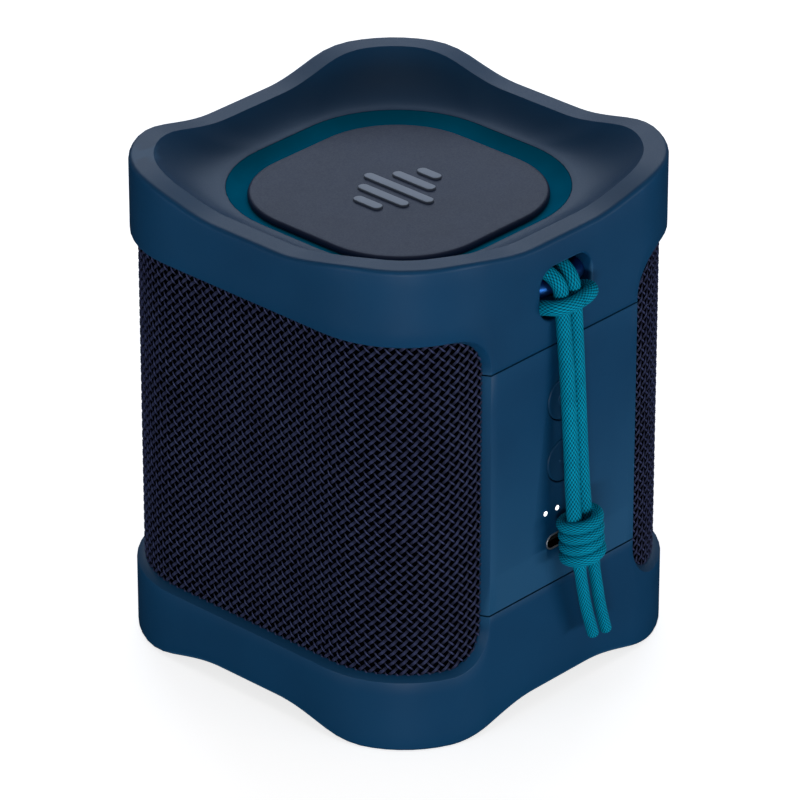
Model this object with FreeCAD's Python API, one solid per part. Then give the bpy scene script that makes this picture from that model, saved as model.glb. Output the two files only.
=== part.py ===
"""Portable wireless speaker: a rounded square tower with a bass radiator in its top.

Frame: +Z up, origin in the middle of the footprint on the floor, millimetres.
The control panel and the lanyard face -Y, the two drivers face -X and +X.
Each function below builds one sub-part, and build_all() names them all.
"""
import FreeCAD, Part
import math
import os

Vec = FreeCAD.Vector
X_AXIS = Vec(1, 0, 0)
Y_AXIS = Vec(0, 1, 0)
Z_AXIS = Vec(0, 0, 1)

# ---------------------------------------------------------------- driving sizes
BODY_HALF = 42.0            # half of the square footprint
CORNER_R = 21.7             # vertical corner radius
HEIGHT = 100.5              # floor to the rim's corners
RIM_DIP = 3.15              # how far the rim drops at the middle of a side
FOOT_RISE = 3.45            # how far the foot lifts at the middle of a side
WAVE_FLAT = 7.5             # half length of the level stretch at mid side
WAVE_END = 29.0             # where rim and foot are level again
EDGE_R = 0.9                # rounding of the outer edges
WALL = 3.6                  # housing wall
FLOOR_T = 3.0               # housing floor
FLOOR_Z = 8.0               # top of the housing floor
WINDOW_LOW = 14.8           # grille window
WINDOW_TOP_GAP = 15.3
WINDOW_HIGH = HEIGHT - WINDOW_TOP_GAP
STRIP_HALF = 20.2           # half width of the control strip
WINDOW_R = 8.5              # rounding of the window's corners
SEAM_LOW = 24.0             # parting lines across the strip
SEAM_TOP_GAP = 24.9
SEAM_HIGH = HEIGHT - SEAM_TOP_GAP
SEAM_GAP = 0.12
FABRIC_INSET = 1.4
FABRIC_T = 0.6
SLOT_W = 4.6                # sound slots in the grille frame
SLOT_PITCH_U = 7.6
SLOT_COLUMNS = 6
SLOT_ROWS = 4
SLOT_BRIDGE = 3.0          # solid bridge between two slots of a column
SLOT_EDGE = 0.4            # share of a pitch left over at the window's two edges
SLOT_PITCH_Z = (WINDOW_HIGH - WINDOW_LOW) / (SLOT_ROWS + SLOT_EDGE)
SLOT_H = SLOT_PITCH_Z - SLOT_BRIDGE
LAND_W = 4.6               # level land between dish and outer wall
DISH_HALF = BODY_HALF - LAND_W
DISH_CORNER_R = 19.5
DISH_DEPTH = 7.2
DISH_Z = HEIGHT - DISH_DEPTH
DISH_ROUND = 6.5
DISH_T = 1.6
# bass radiator
RING_SETBACK = 13.15
CHANNEL_W = 3.55           # visible width of the rubber channel
RING_OUT = BODY_HALF - RING_SETBACK       # visible outer edge of the rubber surround
PLATE_HALF = RING_OUT - CHANNEL_W
PLATE_FLAT = 7.3            # straight half side of every radiator outline
PLATE_DROP = 1.0
PLATE_TOP = DISH_Z - PLATE_DROP
PLATE_T = 1.8
PLATE_RIM = 2.4             # width of the spacer rim under the plate
PLATE_RIM_DEPTH = 0.7
PLATE_RIM_INSET = 0.8
SURROUND_LIP = 0.4         # how far the rubber reaches inside that rim
SURROUND_T = 0.8
SURROUND_LAND = 2.55        # clamped width outside the visible ring
RADIATOR_FRAME_W = 2.4
RADIATOR_GASKET_T = 0.5
WEIGHT_R = 15.0
WEIGHT_T = 3.0
# acoustic cabinet
CABINET_GAP = 2.9          # room for the driver flanges beside the cabinet
CABINET_HALF = BODY_HALF - WALL - CABINET_GAP
CABINET_R = 10.0
CABINET_SETBACK = 10.6
CABINET_FRONT = BODY_HALF - CABINET_SETBACK    # distance of its front wall from the middle
CABINET_WALL = 2.2
CABINET_SHELF = 2.0        # how far the cabinet top reaches inside the surround
POST_R = 1.5
POST_INSET = 2.0
CABINET_DROP = 7.3
CABINET_TOP = DISH_Z - CABINET_DROP
CABINET_TOP_T = 2.0
LID_T = 2.0
LID_GASKET_T = 0.4
BAY_OUTER = 20.0            # half width over the electronics bay's side walls
BAY_WALL = 1.8
BAY_MARGIN = 0.6            # bay walls stop this far from the parting lines
SCREW_INSET_X = 5.3
SCREW_PLACE_X = CABINET_HALF - SCREW_INSET_X
SCREW_INSET_Y = 3.8
SCREW_PLACE_Y = CABINET_FRONT - SCREW_INSET_Y
BOSS_R = 3.2
SCREW_R = 1.2
SCREW_HEAD_R = 2.4
SCREW_HEAD_T = 1.6
SCREW_BITE = 6.0            # thread length in a boss
# control panel
PANEL_T = 2.4
BUTTON_R = 4.4
BUTTON_GAP = 0.08
BUTTON_FLANGE_R = 5.2
BUTTON_FLANGE_T = 0.8
BUTTON_TRAVEL = 0.5
BUTTON_STOP_GAP = 0.02
PANEL_H = SEAM_HIGH - SEAM_LOW
POWER_SHARE = 0.7655       # heights on the panel, as shares of it
PAIRING_SHARE = 0.5136
LED_SHARE = 0.3256
USB_SHARE = 0.1938
POWER_Z = SEAM_LOW + POWER_SHARE * PANEL_H
PAIRING_Z = SEAM_LOW + PAIRING_SHARE * PANEL_H
PLUNGER_R = 1.6
PLUNGER_L = 1.6
PLUNGER_GAP = 0.05
SWITCH_SIDE = 6.0
SWITCH_T = 2.28
WELL_PLAY = 0.1
SWITCH_STAND = 0.9          # plunger length that stands out of the switch
BOARD_T = 1.2
CONTROL_BOARD_W = 33.0
CONTROL_BOARD_FOOT_GAP = 3.5
CONTROL_BOARD_LOW = SEAM_LOW + CONTROL_BOARD_FOOT_GAP
CONTROL_BOARD_TOP_GAP = 3.6
CONTROL_BOARD_HIGH = SEAM_HIGH - CONTROL_BOARD_TOP_GAP
LED_COUNT = 4
LED_PITCH = 3.26
LED_Z = SEAM_LOW + LED_SHARE * PANEL_H
LED_PIPE_R = 0.55
LED_BAR_H = 2.0
LED_BAR_T = 1.2
LED_CHIP_T = 0.6
LED_CHIP_W = 1.6
LED_CHIP_H = 0.8
USB_Z = SEAM_LOW + USB_SHARE * PANEL_H
USB_W = 8.94
USB_H = 3.2
USB_WALL = 0.3
USB_TONGUE_W = 6.7
USB_TONGUE_T = 0.7
USB_TONGUE_INSET = 1.0
USB_BASE_T = 1.2
USB_SEAL_W = 0.9
USB_SEAL_T = 1.0
# main board inside the cabinet
MAIN_BOARD_W = 44.0
MAIN_BOARD_LOW = 20.0
MAIN_BOARD_TOP_GAP = 16.0
MAIN_BOARD_HIGH = CABINET_TOP - MAIN_BOARD_TOP_GAP
MAIN_BOARD_STAND = 2.0
HEADER_W = 16.0
HEADER_H = 4.0
HEADER_RISE = 1.5
HEADER_Z = CONTROL_BOARD_LOW + HEADER_RISE
SHIELD_W = 15.0
SHIELD_H = 12.0
SHIELD_T = 2.0
CHIP_SIDE = 6.0
CHIP_T = 1.2
CHIP_DROP = 6.0            # chips sit this far under the board's middle
# battery
CELL_R = 9.2
CELL_TOP_GAP = 21.0
CELL_L = CABINET_TOP - CELL_TOP_GAP
CELL_SETBACK = 15.0
CELL_Y = CABINET_HALF - CELL_SETBACK
CRADLE_WALL = 1.6
CRADLE_FLOOR = 0.8
CRADLE_H = 40.0
CRADLE_GAP = 0.1
CLIP_H = 4.0
CLIP_DROP = 9.8
# drivers
DRIVER_DROP = 0.25
DRIVER_Z = HEIGHT / 2 - DRIVER_DROP
FLANGE_R = 25.0
FLANGE_T = 1.2
DRIVER_GASKET_T = 0.4
DRIVER_HOLE_R = 21.4
BASKET_R = 20.9
BASKET_T = 0.8
CONE_R = 16.6
CONE_DEPTH = 6.4
CONE_T = 0.5
CONE_SEAT = 0.6            # depth of the cone's rim behind the flange face
CAP_T = 0.4
EDGE_SKIN = 0.4            # thickness of the cone's rubber edge
EDGE_GLUE_W = 1.0
EDGE_LAND_W = 1.6
EDGE_FOOT_W = 0.3
ROLL_R = 1.35
ROLL_GAP = 0.4
SPIDER_R = 15.2
SPIDER_D = 8.0
SPIDER_T = 0.4
SPIDER_WAVES = 6
SPIDER_WAVE_H = 0.5
SPIDER_PLAY = 0.2
SPIDER_LEDGE_W = 0.8        # how far the basket's ledge reaches under the spider
BASKET_FLOOR_T = 1.2
BASKET_STEP_OUT = 2.0      # the basket's skirt ends this far outside the spider
BASKET_STEP_IN = 1.2
BASKET_WINDOW_W = 10.0
BASKET_WINDOW_FRONT = 1.5
BASKET_WINDOW_BACK = 0.8
BASKET_WINDOW_RIM = 1.0
FORMER_R = 6.4
FORMER_T = 0.3
WINDING_T = 0.5
WINDING_L = 4.0
COIL_GAP = 0.45
CUP_R = 12.6
BASKET_EYE_R = 10.0         # opening in the basket floor, over the cup's rim
CUP_T = 2.0
CUP_FRONT = 10.4
CUP_BACK = 19.0
POLE_R = 5.9
POLE_T = 2.0
MAGNET_STEP = 0.3          # the magnet is this much slimmer than its pole
DRIVER_SCREW_RING = 23.5
DRIVER_SCREW_R = 0.8
DRIVER_SCREW_HEAD_R = 1.3
DRIVER_SCREW_HEAD_T = 0.5
DRIVER_SCREW_L = 1.6
# lanyard slot and bar
SLOT_OPEN_HALF = 7.0
LANYARD_DROP = 20.1
LANYARD_H = 11.0
LANYARD_LOW = HEIGHT - LANYARD_DROP
LANYARD_HIGH = LANYARD_LOW + LANYARD_H
LANYARD_R = 3.75
POCKET_DEPTH = 8.4
POCKET_WALL = 1.6
BAR_R = 1.8
BAR_INSET = 2.2
BAR_Y = BODY_HALF - BAR_INSET
BAR_RISE = 6.1
BAR_Z = LANYARD_LOW + BAR_RISE
BAR_SEAT = 1.4
# lanyard cord
CORD_R = 1.4
STRAND_X = (-2.2, 0.6)
HITCH_DROP = 5.9
HITCH_BOTTOM = BAR_Z - HITCH_DROP
STRAND_PROUD = 1.9
STRAND_TOP_Y = BODY_HALF + STRAND_PROUD
HITCH_GAP = 0.05
HITCH_LEFT = -7.8
HITCH_RIGHT = 6.2
BIGHT_DROP = 3.6
HITCH_Z = BAR_Z - BIGHT_DROP
BIGHT_PROUD = 3.3
HITCH_Y = BODY_HALF + BIGHT_PROUD
KNOT_R = 4.6
KNOT_X = -0.8
KNOT_PROUD = 4.85
KNOT_Y = BODY_HALF + KNOT_PROUD
KNOT_RISE = 6.7
KNOT_H = 12.9
KNOT_LOW = SEAM_LOW + KNOT_RISE
KNOT_HIGH = KNOT_LOW + KNOT_H
KNOT_ROUND = 1.4
# tails: hand-placed route points below the knot
KNOT_FOOT = Vec(0, -KNOT_Y, KNOT_LOW)
LEFT_TAIL = (
    KNOT_FOOT + Vec(-1.4, -0.05, 0),
    KNOT_FOOT + Vec(-0.6, -0.05, -5.7),
    KNOT_FOOT + Vec(1.2, 0.15, -12.3),
    KNOT_FOOT + Vec(3.7, 0.45, -18.1),
)
RIGHT_TAIL = (
    KNOT_FOOT + Vec(2.0, -0.45, 0),
    KNOT_FOOT + Vec(3.1, -0.45, -5.5),
    KNOT_FOOT + Vec(4.6, -0.15, -11.9),
    KNOT_FOOT + Vec(7.0, 0.35, -17.5),
)

# ---------------------------------------------------------------- derived sizes
FABRIC_BACK = FABRIC_INSET + FABRIC_T
DISH_UNDER = DISH_Z - DISH_T
LAND_OUT = RING_OUT + SURROUND_LAND
SURROUND_CLAMP_LOW = DISH_UNDER - SURROUND_T
PLATE_LOW = PLATE_TOP - PLATE_T
SURROUND_FLOOR_TOP = PLATE_LOW - PLATE_RIM_DEPTH
SURROUND_FLOOR_LOW = SURROUND_FLOOR_TOP - SURROUND_T
RADIATOR_OPEN = RING_OUT - SURROUND_T
LID_LOW = FLOOR_Z
LID_TOP = LID_LOW + LID_T
CLIP_Z = LID_TOP + CRADLE_FLOOR + CELL_L - CLIP_DROP
CABINET_LOW = LID_TOP + LID_GASKET_T
PANEL_BACK = BODY_HALF - PANEL_T
BUTTON_BACK = PANEL_BACK - BUTTON_STOP_GAP - BUTTON_FLANGE_T
SWITCH_FRONT = BUTTON_BACK - SWITCH_STAND
CONTROL_BOARD_FRONT = SWITCH_FRONT - SWITCH_T
BOARD_BACK = CONTROL_BOARD_FRONT - BOARD_T
CABINET_FRONT_IN = CABINET_FRONT - CABINET_WALL
MAIN_BOARD_FRONT = CABINET_FRONT_IN - MAIN_BOARD_STAND
MAIN_BOARD_BACK = MAIN_BOARD_FRONT - BOARD_T
POCKET_BACK = BODY_HALF - POCKET_DEPTH
BEYOND = 60.0            # half size of tools that reach past the body


# ---------------------------------------------------------------- drawing helpers
def rounded_outline(half, radius, z):
    """Closed wire of a square with rounded corners, at height z."""
    flat = half - radius
    bulge = flat + radius * math.cos(math.pi / 4)
    edges = []
    for turn in range(4):
        spin = FreeCAD.Rotation(Z_AXIS, 90 * turn)
        side_start = spin.multVec(Vec(half, -flat, z))
        side_end = spin.multVec(Vec(half, flat, z))
        arc_mid = spin.multVec(Vec(bulge, bulge, z))
        arc_end = spin.multVec(Vec(flat, half, z))
        edges.append(Part.LineSegment(side_start, side_end).toShape())
        edges.append(Part.Arc(side_end, arc_mid, arc_end).toShape())
    return Part.Wire(edges)


def rounded_prism(half, radius, low, high):
    """Upright prism of the rounded square."""
    return Part.Face(rounded_outline(half, radius, low)).extrude(Vec(0, 0, high - low))


def body_prism(inset, low, high):
    """Prism that follows the body's outline, a given distance inside it."""
    return rounded_prism(BODY_HALF - inset, CORNER_R - inset, low, high)


def radiator_prism(half, low, high):
    """Prism that follows the radiator plate's outline."""
    return rounded_prism(half, half - PLATE_FLAT, low, high)


def radiator_ring(inner, outer, low, high):
    """Ring between two outlines parallel to the radiator plate's edge."""
    return radiator_prism(outer, low, high).cut(radiator_prism(inner, low, high))


def box(x0, x1, y0, y1, z0, z1):
    """Box from its two corners."""
    return Part.makeBox(x1 - x0, y1 - y0, z1 - z0, Vec(x0, y0, z0))


def rod(radius, start, end):
    """Solid cylinder from one point to another."""
    reach = end - start
    return Part.makeCylinder(radius, reach.Length, start, reach)


def front_rod(radius, x, z, y_out, y_in):
    """Cylinder along Y in the front wall; depths are distances from the middle."""
    return rod(radius, Vec(x, -y_out, z), Vec(x, -y_in, z))


def rounded_slot(half_w, low, high, radius, y_out, y_in):
    """Prism along Y with a rounded rectangle for its section."""
    slab = box(-half_w, half_w, -y_out, -y_in, low, high)
    edges = [e for e in slab.Edges if abs(abs(e.tangentAt(e.FirstParameter).y) - 1) < 1e-6]
    return slab.makeFillet(radius, edges)


def merged(solids):
    """One solid from several that touch or overlap."""
    return solids[0].multiFuse(solids[1:]).removeSplitter()


# ---------------------------------------------------------------- shared shapes
def wave_blank(amplitude, level):
    """Bar along Y whose upper face dips by the amplitude at x = 0."""
    run = WAVE_END - WAVE_FLAT
    radius = (run ** 2 + amplitude ** 2) / (4 * amplitude)
    half_turn = math.asin(run / 2 / radius) / 2
    dip = level - amplitude
    across = radius * math.sin(half_turn)
    drop = radius * (1 - math.cos(half_turn))
    mid = (WAVE_FLAT + WAVE_END) / 2
    right = [
        Part.LineSegment(Vec(0, 0, dip), Vec(WAVE_FLAT, 0, dip)),
        Part.Arc(Vec(WAVE_FLAT, 0, dip), Vec(WAVE_FLAT + across, 0, dip + drop),
                 Vec(mid, 0, level - amplitude / 2)),
        Part.Arc(Vec(mid, 0, level - amplitude / 2), Vec(WAVE_END - across, 0, level - drop),
                 Vec(WAVE_END, 0, level)),
        Part.LineSegment(Vec(WAVE_END, 0, level), Vec(BEYOND, 0, level)),
        Part.LineSegment(Vec(BEYOND, 0, level), Vec(BEYOND, 0, -BEYOND)),
        Part.LineSegment(Vec(BEYOND, 0, -BEYOND), Vec(0, 0, -BEYOND)),
        Part.LineSegment(Vec(0, 0, -BEYOND), Vec(0, 0, dip)),
    ]
    face = Part.Face(Part.Wire([piece.toShape() for piece in right]))
    half = face.extrude(Vec(0, 2 * BEYOND, 0))
    half.translate(Vec(0, -BEYOND, 0))
    other = half.mirror(Vec(0, 0, 0), X_AXIS)
    return half.fuse(other).removeSplitter()


def below_rim():
    """Everything under the wavy rim."""
    along_y = wave_blank(RIM_DIP, HEIGHT)
    along_x = along_y.copy()
    along_x.rotate(Vec(0, 0, 0), Z_AXIS, 90)
    return along_y.common(along_x)


def above_foot():
    """Everything over the wavy foot."""
    along_y = wave_blank(FOOT_RISE, 0)
    along_y.rotate(Vec(0, 0, 0), Y_AXIS, 180)
    along_x = along_y.copy()
    along_x.rotate(Vec(0, 0, 0), Z_AXIS, 90)
    return along_y.common(along_x)


def front_strip():
    """The strip that the grille window leaves on the front, flared at both ends."""
    flare = STRIP_HALF + WINDOW_R
    bend = WINDOW_R * (1 - math.cos(math.pi / 4))
    points = []
    for side, upright in ((1, 1), (-1, -1)):
        low, high = (WINDOW_LOW, WINDOW_HIGH) if upright > 0 else (WINDOW_HIGH, WINDOW_LOW)
        step = WINDOW_R * upright
        bow = bend * upright
        points.append((Vec(side * flare, 0, low), Vec(side * (STRIP_HALF + bend), 0, low + bow),
                       Vec(side * STRIP_HALF, 0, low + step)))
        points.append((Vec(side * STRIP_HALF, 0, high - step),
                       Vec(side * (STRIP_HALF + bend), 0, high - bow), Vec(side * flare, 0, high)))
    edges = []
    for index, (start, middle, end) in enumerate(points):
        edges.append(Part.Arc(start, middle, end).toShape())
        edges.append(Part.LineSegment(end, points[(index + 1) % 4][0]).toShape())
    strip = Part.Face(Part.Wire(edges)).extrude(Vec(0, BEYOND - CABINET_FRONT, 0))
    strip.translate(Vec(0, -BEYOND, 0))
    return strip


def grille_window():
    """The space that the fabric and its frame take from the housing walls."""
    band = box(-BEYOND, BEYOND, -BEYOND, BEYOND, WINDOW_LOW, WINDOW_HIGH)
    return band.cut(front_strip())


def soften_outer_edges(shape, z_low, z_high):
    """Round the edges that lie on the body's outer wall between two heights."""
    chosen = []
    for edge in shape.Edges:
        where = edge.BoundBox
        if where.ZMin < z_low or where.ZMax > z_high:
            continue
        middle = edge.valueAt((edge.FirstParameter + edge.LastParameter) / 2)
        upright = abs(edge.tangentAt((edge.FirstParameter + edge.LastParameter) / 2).z) > 0.9
        if on_outer_wall(middle) and not upright:
            chosen.append(edge)
    return shape.makeFillet(EDGE_R, chosen)


def on_outer_wall(point):
    """Whether a point lies on the body's upright outer wall."""
    flat = BODY_HALF - CORNER_R
    out_x = max(abs(point.x) - flat, 0)
    out_y = max(abs(point.y) - flat, 0)
    return abs(math.hypot(out_x, out_y) - CORNER_R) < 1e-3


# ---------------------------------------------------------------- housings
def lanyard_cavity():
    """Hollow of the lanyard slot, open to the front."""
    return rounded_slot(SLOT_OPEN_HALF, LANYARD_LOW, LANYARD_HIGH, LANYARD_R,
                        BODY_HALF + 1, POCKET_BACK)


def lanyard_bar():
    """Metal bar across the lanyard slot, its ends seated in the pocket's walls."""
    reach = SLOT_OPEN_HALF + BAR_SEAT
    return rod(BAR_R, Vec(-reach, -BAR_Y, BAR_Z), Vec(reach, -BAR_Y, BAR_Z))


def top_housing():
    """Top housing: wavy rim, dish, lanyard pocket and the strip's upper end."""
    shell = body_prism(0, SEAM_HIGH, HEIGHT + 1).common(below_rim())
    shell = soften_outer_edges(shell, HEIGHT - RIM_DIP - 0.01, HEIGHT + 0.01)
    shell = shell.cut(body_prism(WALL, SEAM_HIGH, DISH_UNDER))
    dish = rounded_prism(DISH_HALF, DISH_CORNER_R, DISH_Z, HEIGHT + DISH_ROUND)
    dish_edges = [edge for edge in dish.Edges if edge.BoundBox.ZMax < DISH_Z + 0.01]
    shell = shell.cut(dish.makeFillet(DISH_ROUND, dish_edges))
    shell = shell.cut(radiator_prism(RING_OUT, DISH_UNDER - 1, DISH_Z + 1))
    shell = shell.cut(grille_window())
    pocket = rounded_slot(SLOT_OPEN_HALF + POCKET_WALL, LANYARD_LOW - POCKET_WALL,
                          LANYARD_HIGH + POCKET_WALL, LANYARD_R + POCKET_WALL,
                          BODY_HALF - WALL / 2, POCKET_BACK - POCKET_WALL)
    bosses = [rod(BOSS_R, Vec(x, y, CABINET_TOP), Vec(x, y, DISH_UNDER + 1)) for x, y in screw_places()]
    shell = merged([shell, pocket] + bosses)
    shell = shell.cut(lanyard_cavity()).cut(lanyard_bar())
    for screw in top_screw_list():
        shell = shell.cut(screw)
    return shell


def bottom_housing():
    """Bottom housing: wavy foot, floor and the strip's lower end."""
    shell = body_prism(0, -1, SEAM_LOW).common(above_foot())
    shell = soften_outer_edges(shell, -0.01, FOOT_RISE + 0.01)
    shell = shell.cut(body_prism(WALL, FLOOR_Z, SEAM_LOW + 1))
    shell = shell.cut(body_prism(WALL, -1, FLOOR_Z - FLOOR_T))
    shell = shell.cut(grille_window())
    for screw in base_screw_list():
        shell = shell.cut(screw)
    return shell


def control_panel():
    """Panel of the strip between the parting lines, with its openings."""
    ring = body_prism(0, SEAM_LOW + SEAM_GAP, SEAM_HIGH - SEAM_GAP)
    ring = ring.cut(body_prism(PANEL_T, SEAM_LOW, SEAM_HIGH))
    panel = ring.common(front_strip())
    for z in (POWER_Z, PAIRING_Z):
        panel = panel.cut(front_rod(BUTTON_R + BUTTON_GAP, 0, z, BODY_HALF + 1, PANEL_BACK - 1))
    for x in led_places():
        panel = panel.cut(front_rod(LED_PIPE_R, x, LED_Z, BODY_HALF + 1, PANEL_BACK - 1))
    return panel.cut(usb_outline(0, BODY_HALF + 1, PANEL_BACK - 1))


def grille_fabric():
    """Woven cover of the window, as one thin skin."""
    skin = body_prism(FABRIC_INSET, WINDOW_LOW, WINDOW_HIGH)
    skin = skin.cut(body_prism(FABRIC_BACK, WINDOW_LOW, WINDOW_HIGH))
    return skin.common(grille_window())


def grille_frame():
    """Slotted frame that carries the fabric on three sides."""
    frame = body_prism(FABRIC_BACK, WINDOW_LOW, WINDOW_HIGH)
    frame = frame.cut(body_prism(WALL, WINDOW_LOW, WINDOW_HIGH))
    frame = frame.common(grille_window())
    slots = []
    middle_z = (WINDOW_LOW + WINDOW_HIGH) / 2
    for column in range(SLOT_COLUMNS):
        u = (column - (SLOT_COLUMNS - 1) / 2) * SLOT_PITCH_U
        for row in range(SLOT_ROWS):
            z = middle_z + (row - (SLOT_ROWS - 1) / 2) * SLOT_PITCH_Z
            low = z - SLOT_H / 2
            high = z + SLOT_H / 2
            slots.append(box(-BEYOND, BEYOND, u - SLOT_W / 2, u + SLOT_W / 2, low, high))
            slots.append(box(u - SLOT_W / 2, u + SLOT_W / 2, 0, BEYOND, low, high))
    return frame.cut(Part.makeCompound(slots))


# ---------------------------------------------------------------- cabinet
def cabinet_prism(inset, low, high):
    """Prism of the cabinet's outline: a rounded square with a flat front."""
    prism = rounded_prism(CABINET_HALF - inset, CABINET_R - inset, low, high)
    front = CABINET_FRONT - inset
    return prism.cut(box(-BEYOND, BEYOND, -BEYOND, -front, low - 1, high + 1))


def screw_places():
    """Plan positions of the four corner screws."""
    return [(x, y) for x in (-SCREW_PLACE_X, SCREW_PLACE_X) for y in (-SCREW_PLACE_Y, SCREW_PLACE_Y)]


def screw(x, y, head_z, tip_z):
    """Screw with a flat head whose far face is at head_z."""
    way = 1 if tip_z > head_z else -1
    neck_z = head_z + way * SCREW_HEAD_T
    head = rod(SCREW_HEAD_R, Vec(x, y, head_z), Vec(x, y, neck_z))
    shank = rod(SCREW_R, Vec(x, y, neck_z), Vec(x, y, tip_z))
    return head.fuse(shank).removeSplitter()


def top_screw_list():
    """Screws from inside the cabinet into the top housing's bosses."""
    head_z = CABINET_TOP - CABINET_TOP_T - SCREW_HEAD_T
    return [screw(x, y, head_z, DISH_UNDER) for x, y in screw_places()]


def base_screw_list():
    """Screws through the bottom housing and the lid into the cabinet's bosses."""
    head_z = FLOOR_Z - FLOOR_T
    return [screw(x, y, head_z, CABINET_LOW + SCREW_BITE) for x, y in screw_places()]


def cabinet():
    """Sealed acoustic box that carries both drivers, the radiator and the boards."""
    body = cabinet_prism(0, CABINET_LOW, CABINET_TOP)
    body = body.cut(cabinet_prism(CABINET_WALL, CABINET_LOW, CABINET_TOP - CABINET_TOP_T))
    body = body.cut(radiator_prism(RADIATOR_OPEN - CABINET_SHELF, CABINET_TOP - CABINET_TOP_T - 1, CABINET_TOP + 1))
    boss_top = CABINET_LOW + SCREW_BITE + BOSS_R
    bosses = [rod(BOSS_R, Vec(x, y, CABINET_LOW), Vec(x, y, boss_top)) for x, y in screw_places()]
    bay_low = SEAM_LOW + BAY_MARGIN
    bay_high = SEAM_HIGH - BAY_MARGIN
    bay_walls = []
    for side in (-1, 1):
        low_x, high_x = sorted((side * BAY_OUTER, side * (BAY_OUTER - BAY_WALL)))
        bay_walls.append(box(low_x, high_x, -PANEL_BACK, -CABINET_FRONT, bay_low, bay_high))
    posts = []
    for x in (-CONTROL_BOARD_W / 2 + POST_INSET, CONTROL_BOARD_W / 2 - POST_INSET):
        for z in (CONTROL_BOARD_LOW + POST_INSET, CONTROL_BOARD_HIGH - POST_INSET):
            posts.append(front_rod(POST_R, x, z, BOARD_BACK, CABINET_FRONT))
    for x in (-MAIN_BOARD_W / 2 + POST_INSET, MAIN_BOARD_W / 2 - POST_INSET):
        for z in (MAIN_BOARD_LOW + POST_INSET, MAIN_BOARD_HIGH - POST_INSET):
            posts.append(front_rod(POST_R, x, z, CABINET_FRONT_IN, MAIN_BOARD_FRONT))
    body = merged([body] + bosses + bay_walls + posts)
    body = body.cut(header_block())
    for side in (-1, 1):
        hole = Part.makeCylinder(DRIVER_HOLE_R, CABINET_HALF, Vec(0, 0, DRIVER_Z), Vec(side, 0, 0))
        body = body.cut(hole)
        for driver_screw in driver_screw_list(side):
            body = body.cut(driver_screw)
    for piece in top_screw_list() + base_screw_list():
        body = body.cut(piece)
    return body


def cabinet_lid():
    """Plate that closes the cabinet from below."""
    lid = cabinet_prism(0, LID_LOW, LID_TOP)
    for piece in base_screw_list():
        lid = lid.cut(piece)
    return lid


def lid_gasket():
    """Rubber seal between the cabinet and its lid."""
    seal = cabinet_prism(0, LID_TOP, CABINET_LOW).cut(cabinet_prism(CABINET_WALL, LID_TOP, CABINET_LOW))
    return seal


def radiator_frame():
    """Ring that clamps the radiator's surround from below."""
    return radiator_ring(LAND_OUT - RADIATOR_FRAME_W, LAND_OUT,
                         CABINET_TOP + RADIATOR_GASKET_T, SURROUND_CLAMP_LOW)


def radiator_gasket():
    """Rubber seal between the radiator's ring and the cabinet."""
    return radiator_ring(LAND_OUT - RADIATOR_FRAME_W, LAND_OUT,
                         CABINET_TOP, CABINET_TOP + RADIATOR_GASKET_T)


def radiator_surround():
    """Rubber trough that carries the radiator plate."""
    clamp = radiator_ring(RADIATOR_OPEN, LAND_OUT, SURROUND_CLAMP_LOW, DISH_UNDER)
    wall = radiator_ring(RADIATOR_OPEN, RING_OUT, SURROUND_FLOOR_LOW, DISH_Z)
    floor = radiator_ring(PLATE_HALF - PLATE_RIM - SURROUND_LIP, RING_OUT, SURROUND_FLOOR_LOW, SURROUND_FLOOR_TOP)
    return merged([clamp, wall, floor])


def radiator_plate():
    """Floating plate of the bass radiator with the rim it is glued by."""
    plate = radiator_prism(PLATE_HALF, PLATE_LOW, PLATE_TOP)
    rim_out = PLATE_HALF - PLATE_RIM_INSET
    rim = radiator_ring(rim_out - PLATE_RIM, rim_out, SURROUND_FLOOR_TOP, PLATE_LOW)
    return merged([plate, rim])


def radiator_weight():
    """Steel disc that tunes the radiator, glued under its plate."""
    return Part.makeCylinder(WEIGHT_R, WEIGHT_T, Vec(0, 0, PLATE_LOW - WEIGHT_T))


# ---------------------------------------------------------------- electronics
def usb_outline(inset, y_out, y_in):
    """Prism along Y with the charging port's stadium section."""
    half_w = USB_W / 2 - inset
    half_h = USB_H / 2 - inset
    return rounded_slot(half_w, USB_Z - half_h, USB_Z + half_h, half_h - 0.01, y_out, y_in)


def usb_shell():
    """Steel shell of the charging port."""
    shell = usb_outline(0, BODY_HALF, CONTROL_BOARD_FRONT)
    return shell.cut(usb_outline(USB_WALL, BODY_HALF + 1, CONTROL_BOARD_FRONT))


def usb_tongue():
    """Contact tongue of the charging port, standing on a base block."""
    tongue = box(-USB_TONGUE_W / 2, USB_TONGUE_W / 2, -BODY_HALF + USB_TONGUE_INSET, -CONTROL_BOARD_FRONT,
                 USB_Z - USB_TONGUE_T / 2, USB_Z + USB_TONGUE_T / 2)
    base = usb_outline(USB_WALL, CONTROL_BOARD_FRONT + USB_BASE_T, CONTROL_BOARD_FRONT)
    return merged([base, tongue])


def usb_seal():
    """Rubber collar round the port, behind the panel."""
    collar = usb_outline(-USB_SEAL_W, PANEL_BACK, PANEL_BACK - USB_SEAL_T)
    return collar.cut(usb_outline(0, BODY_HALF, CONTROL_BOARD_FRONT))


def led_places():
    """Positions of the charge lights along X."""
    return [(index - (LED_COUNT - 1) / 2) * LED_PITCH for index in range(LED_COUNT)]


def light_pipes():
    """Clear light guide: one bar behind the panel with a peg for each light."""
    reach = LED_PITCH * LED_COUNT / 2
    bar = box(-reach, reach, -PANEL_BACK, -PANEL_BACK + LED_BAR_T,
              LED_Z - LED_BAR_H / 2, LED_Z + LED_BAR_H / 2)
    chip_front = CONTROL_BOARD_FRONT + LED_CHIP_T
    pegs = [front_rod(LED_PIPE_R, x, LED_Z, BODY_HALF, chip_front) for x in led_places()]
    return merged([bar] + pegs)


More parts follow.
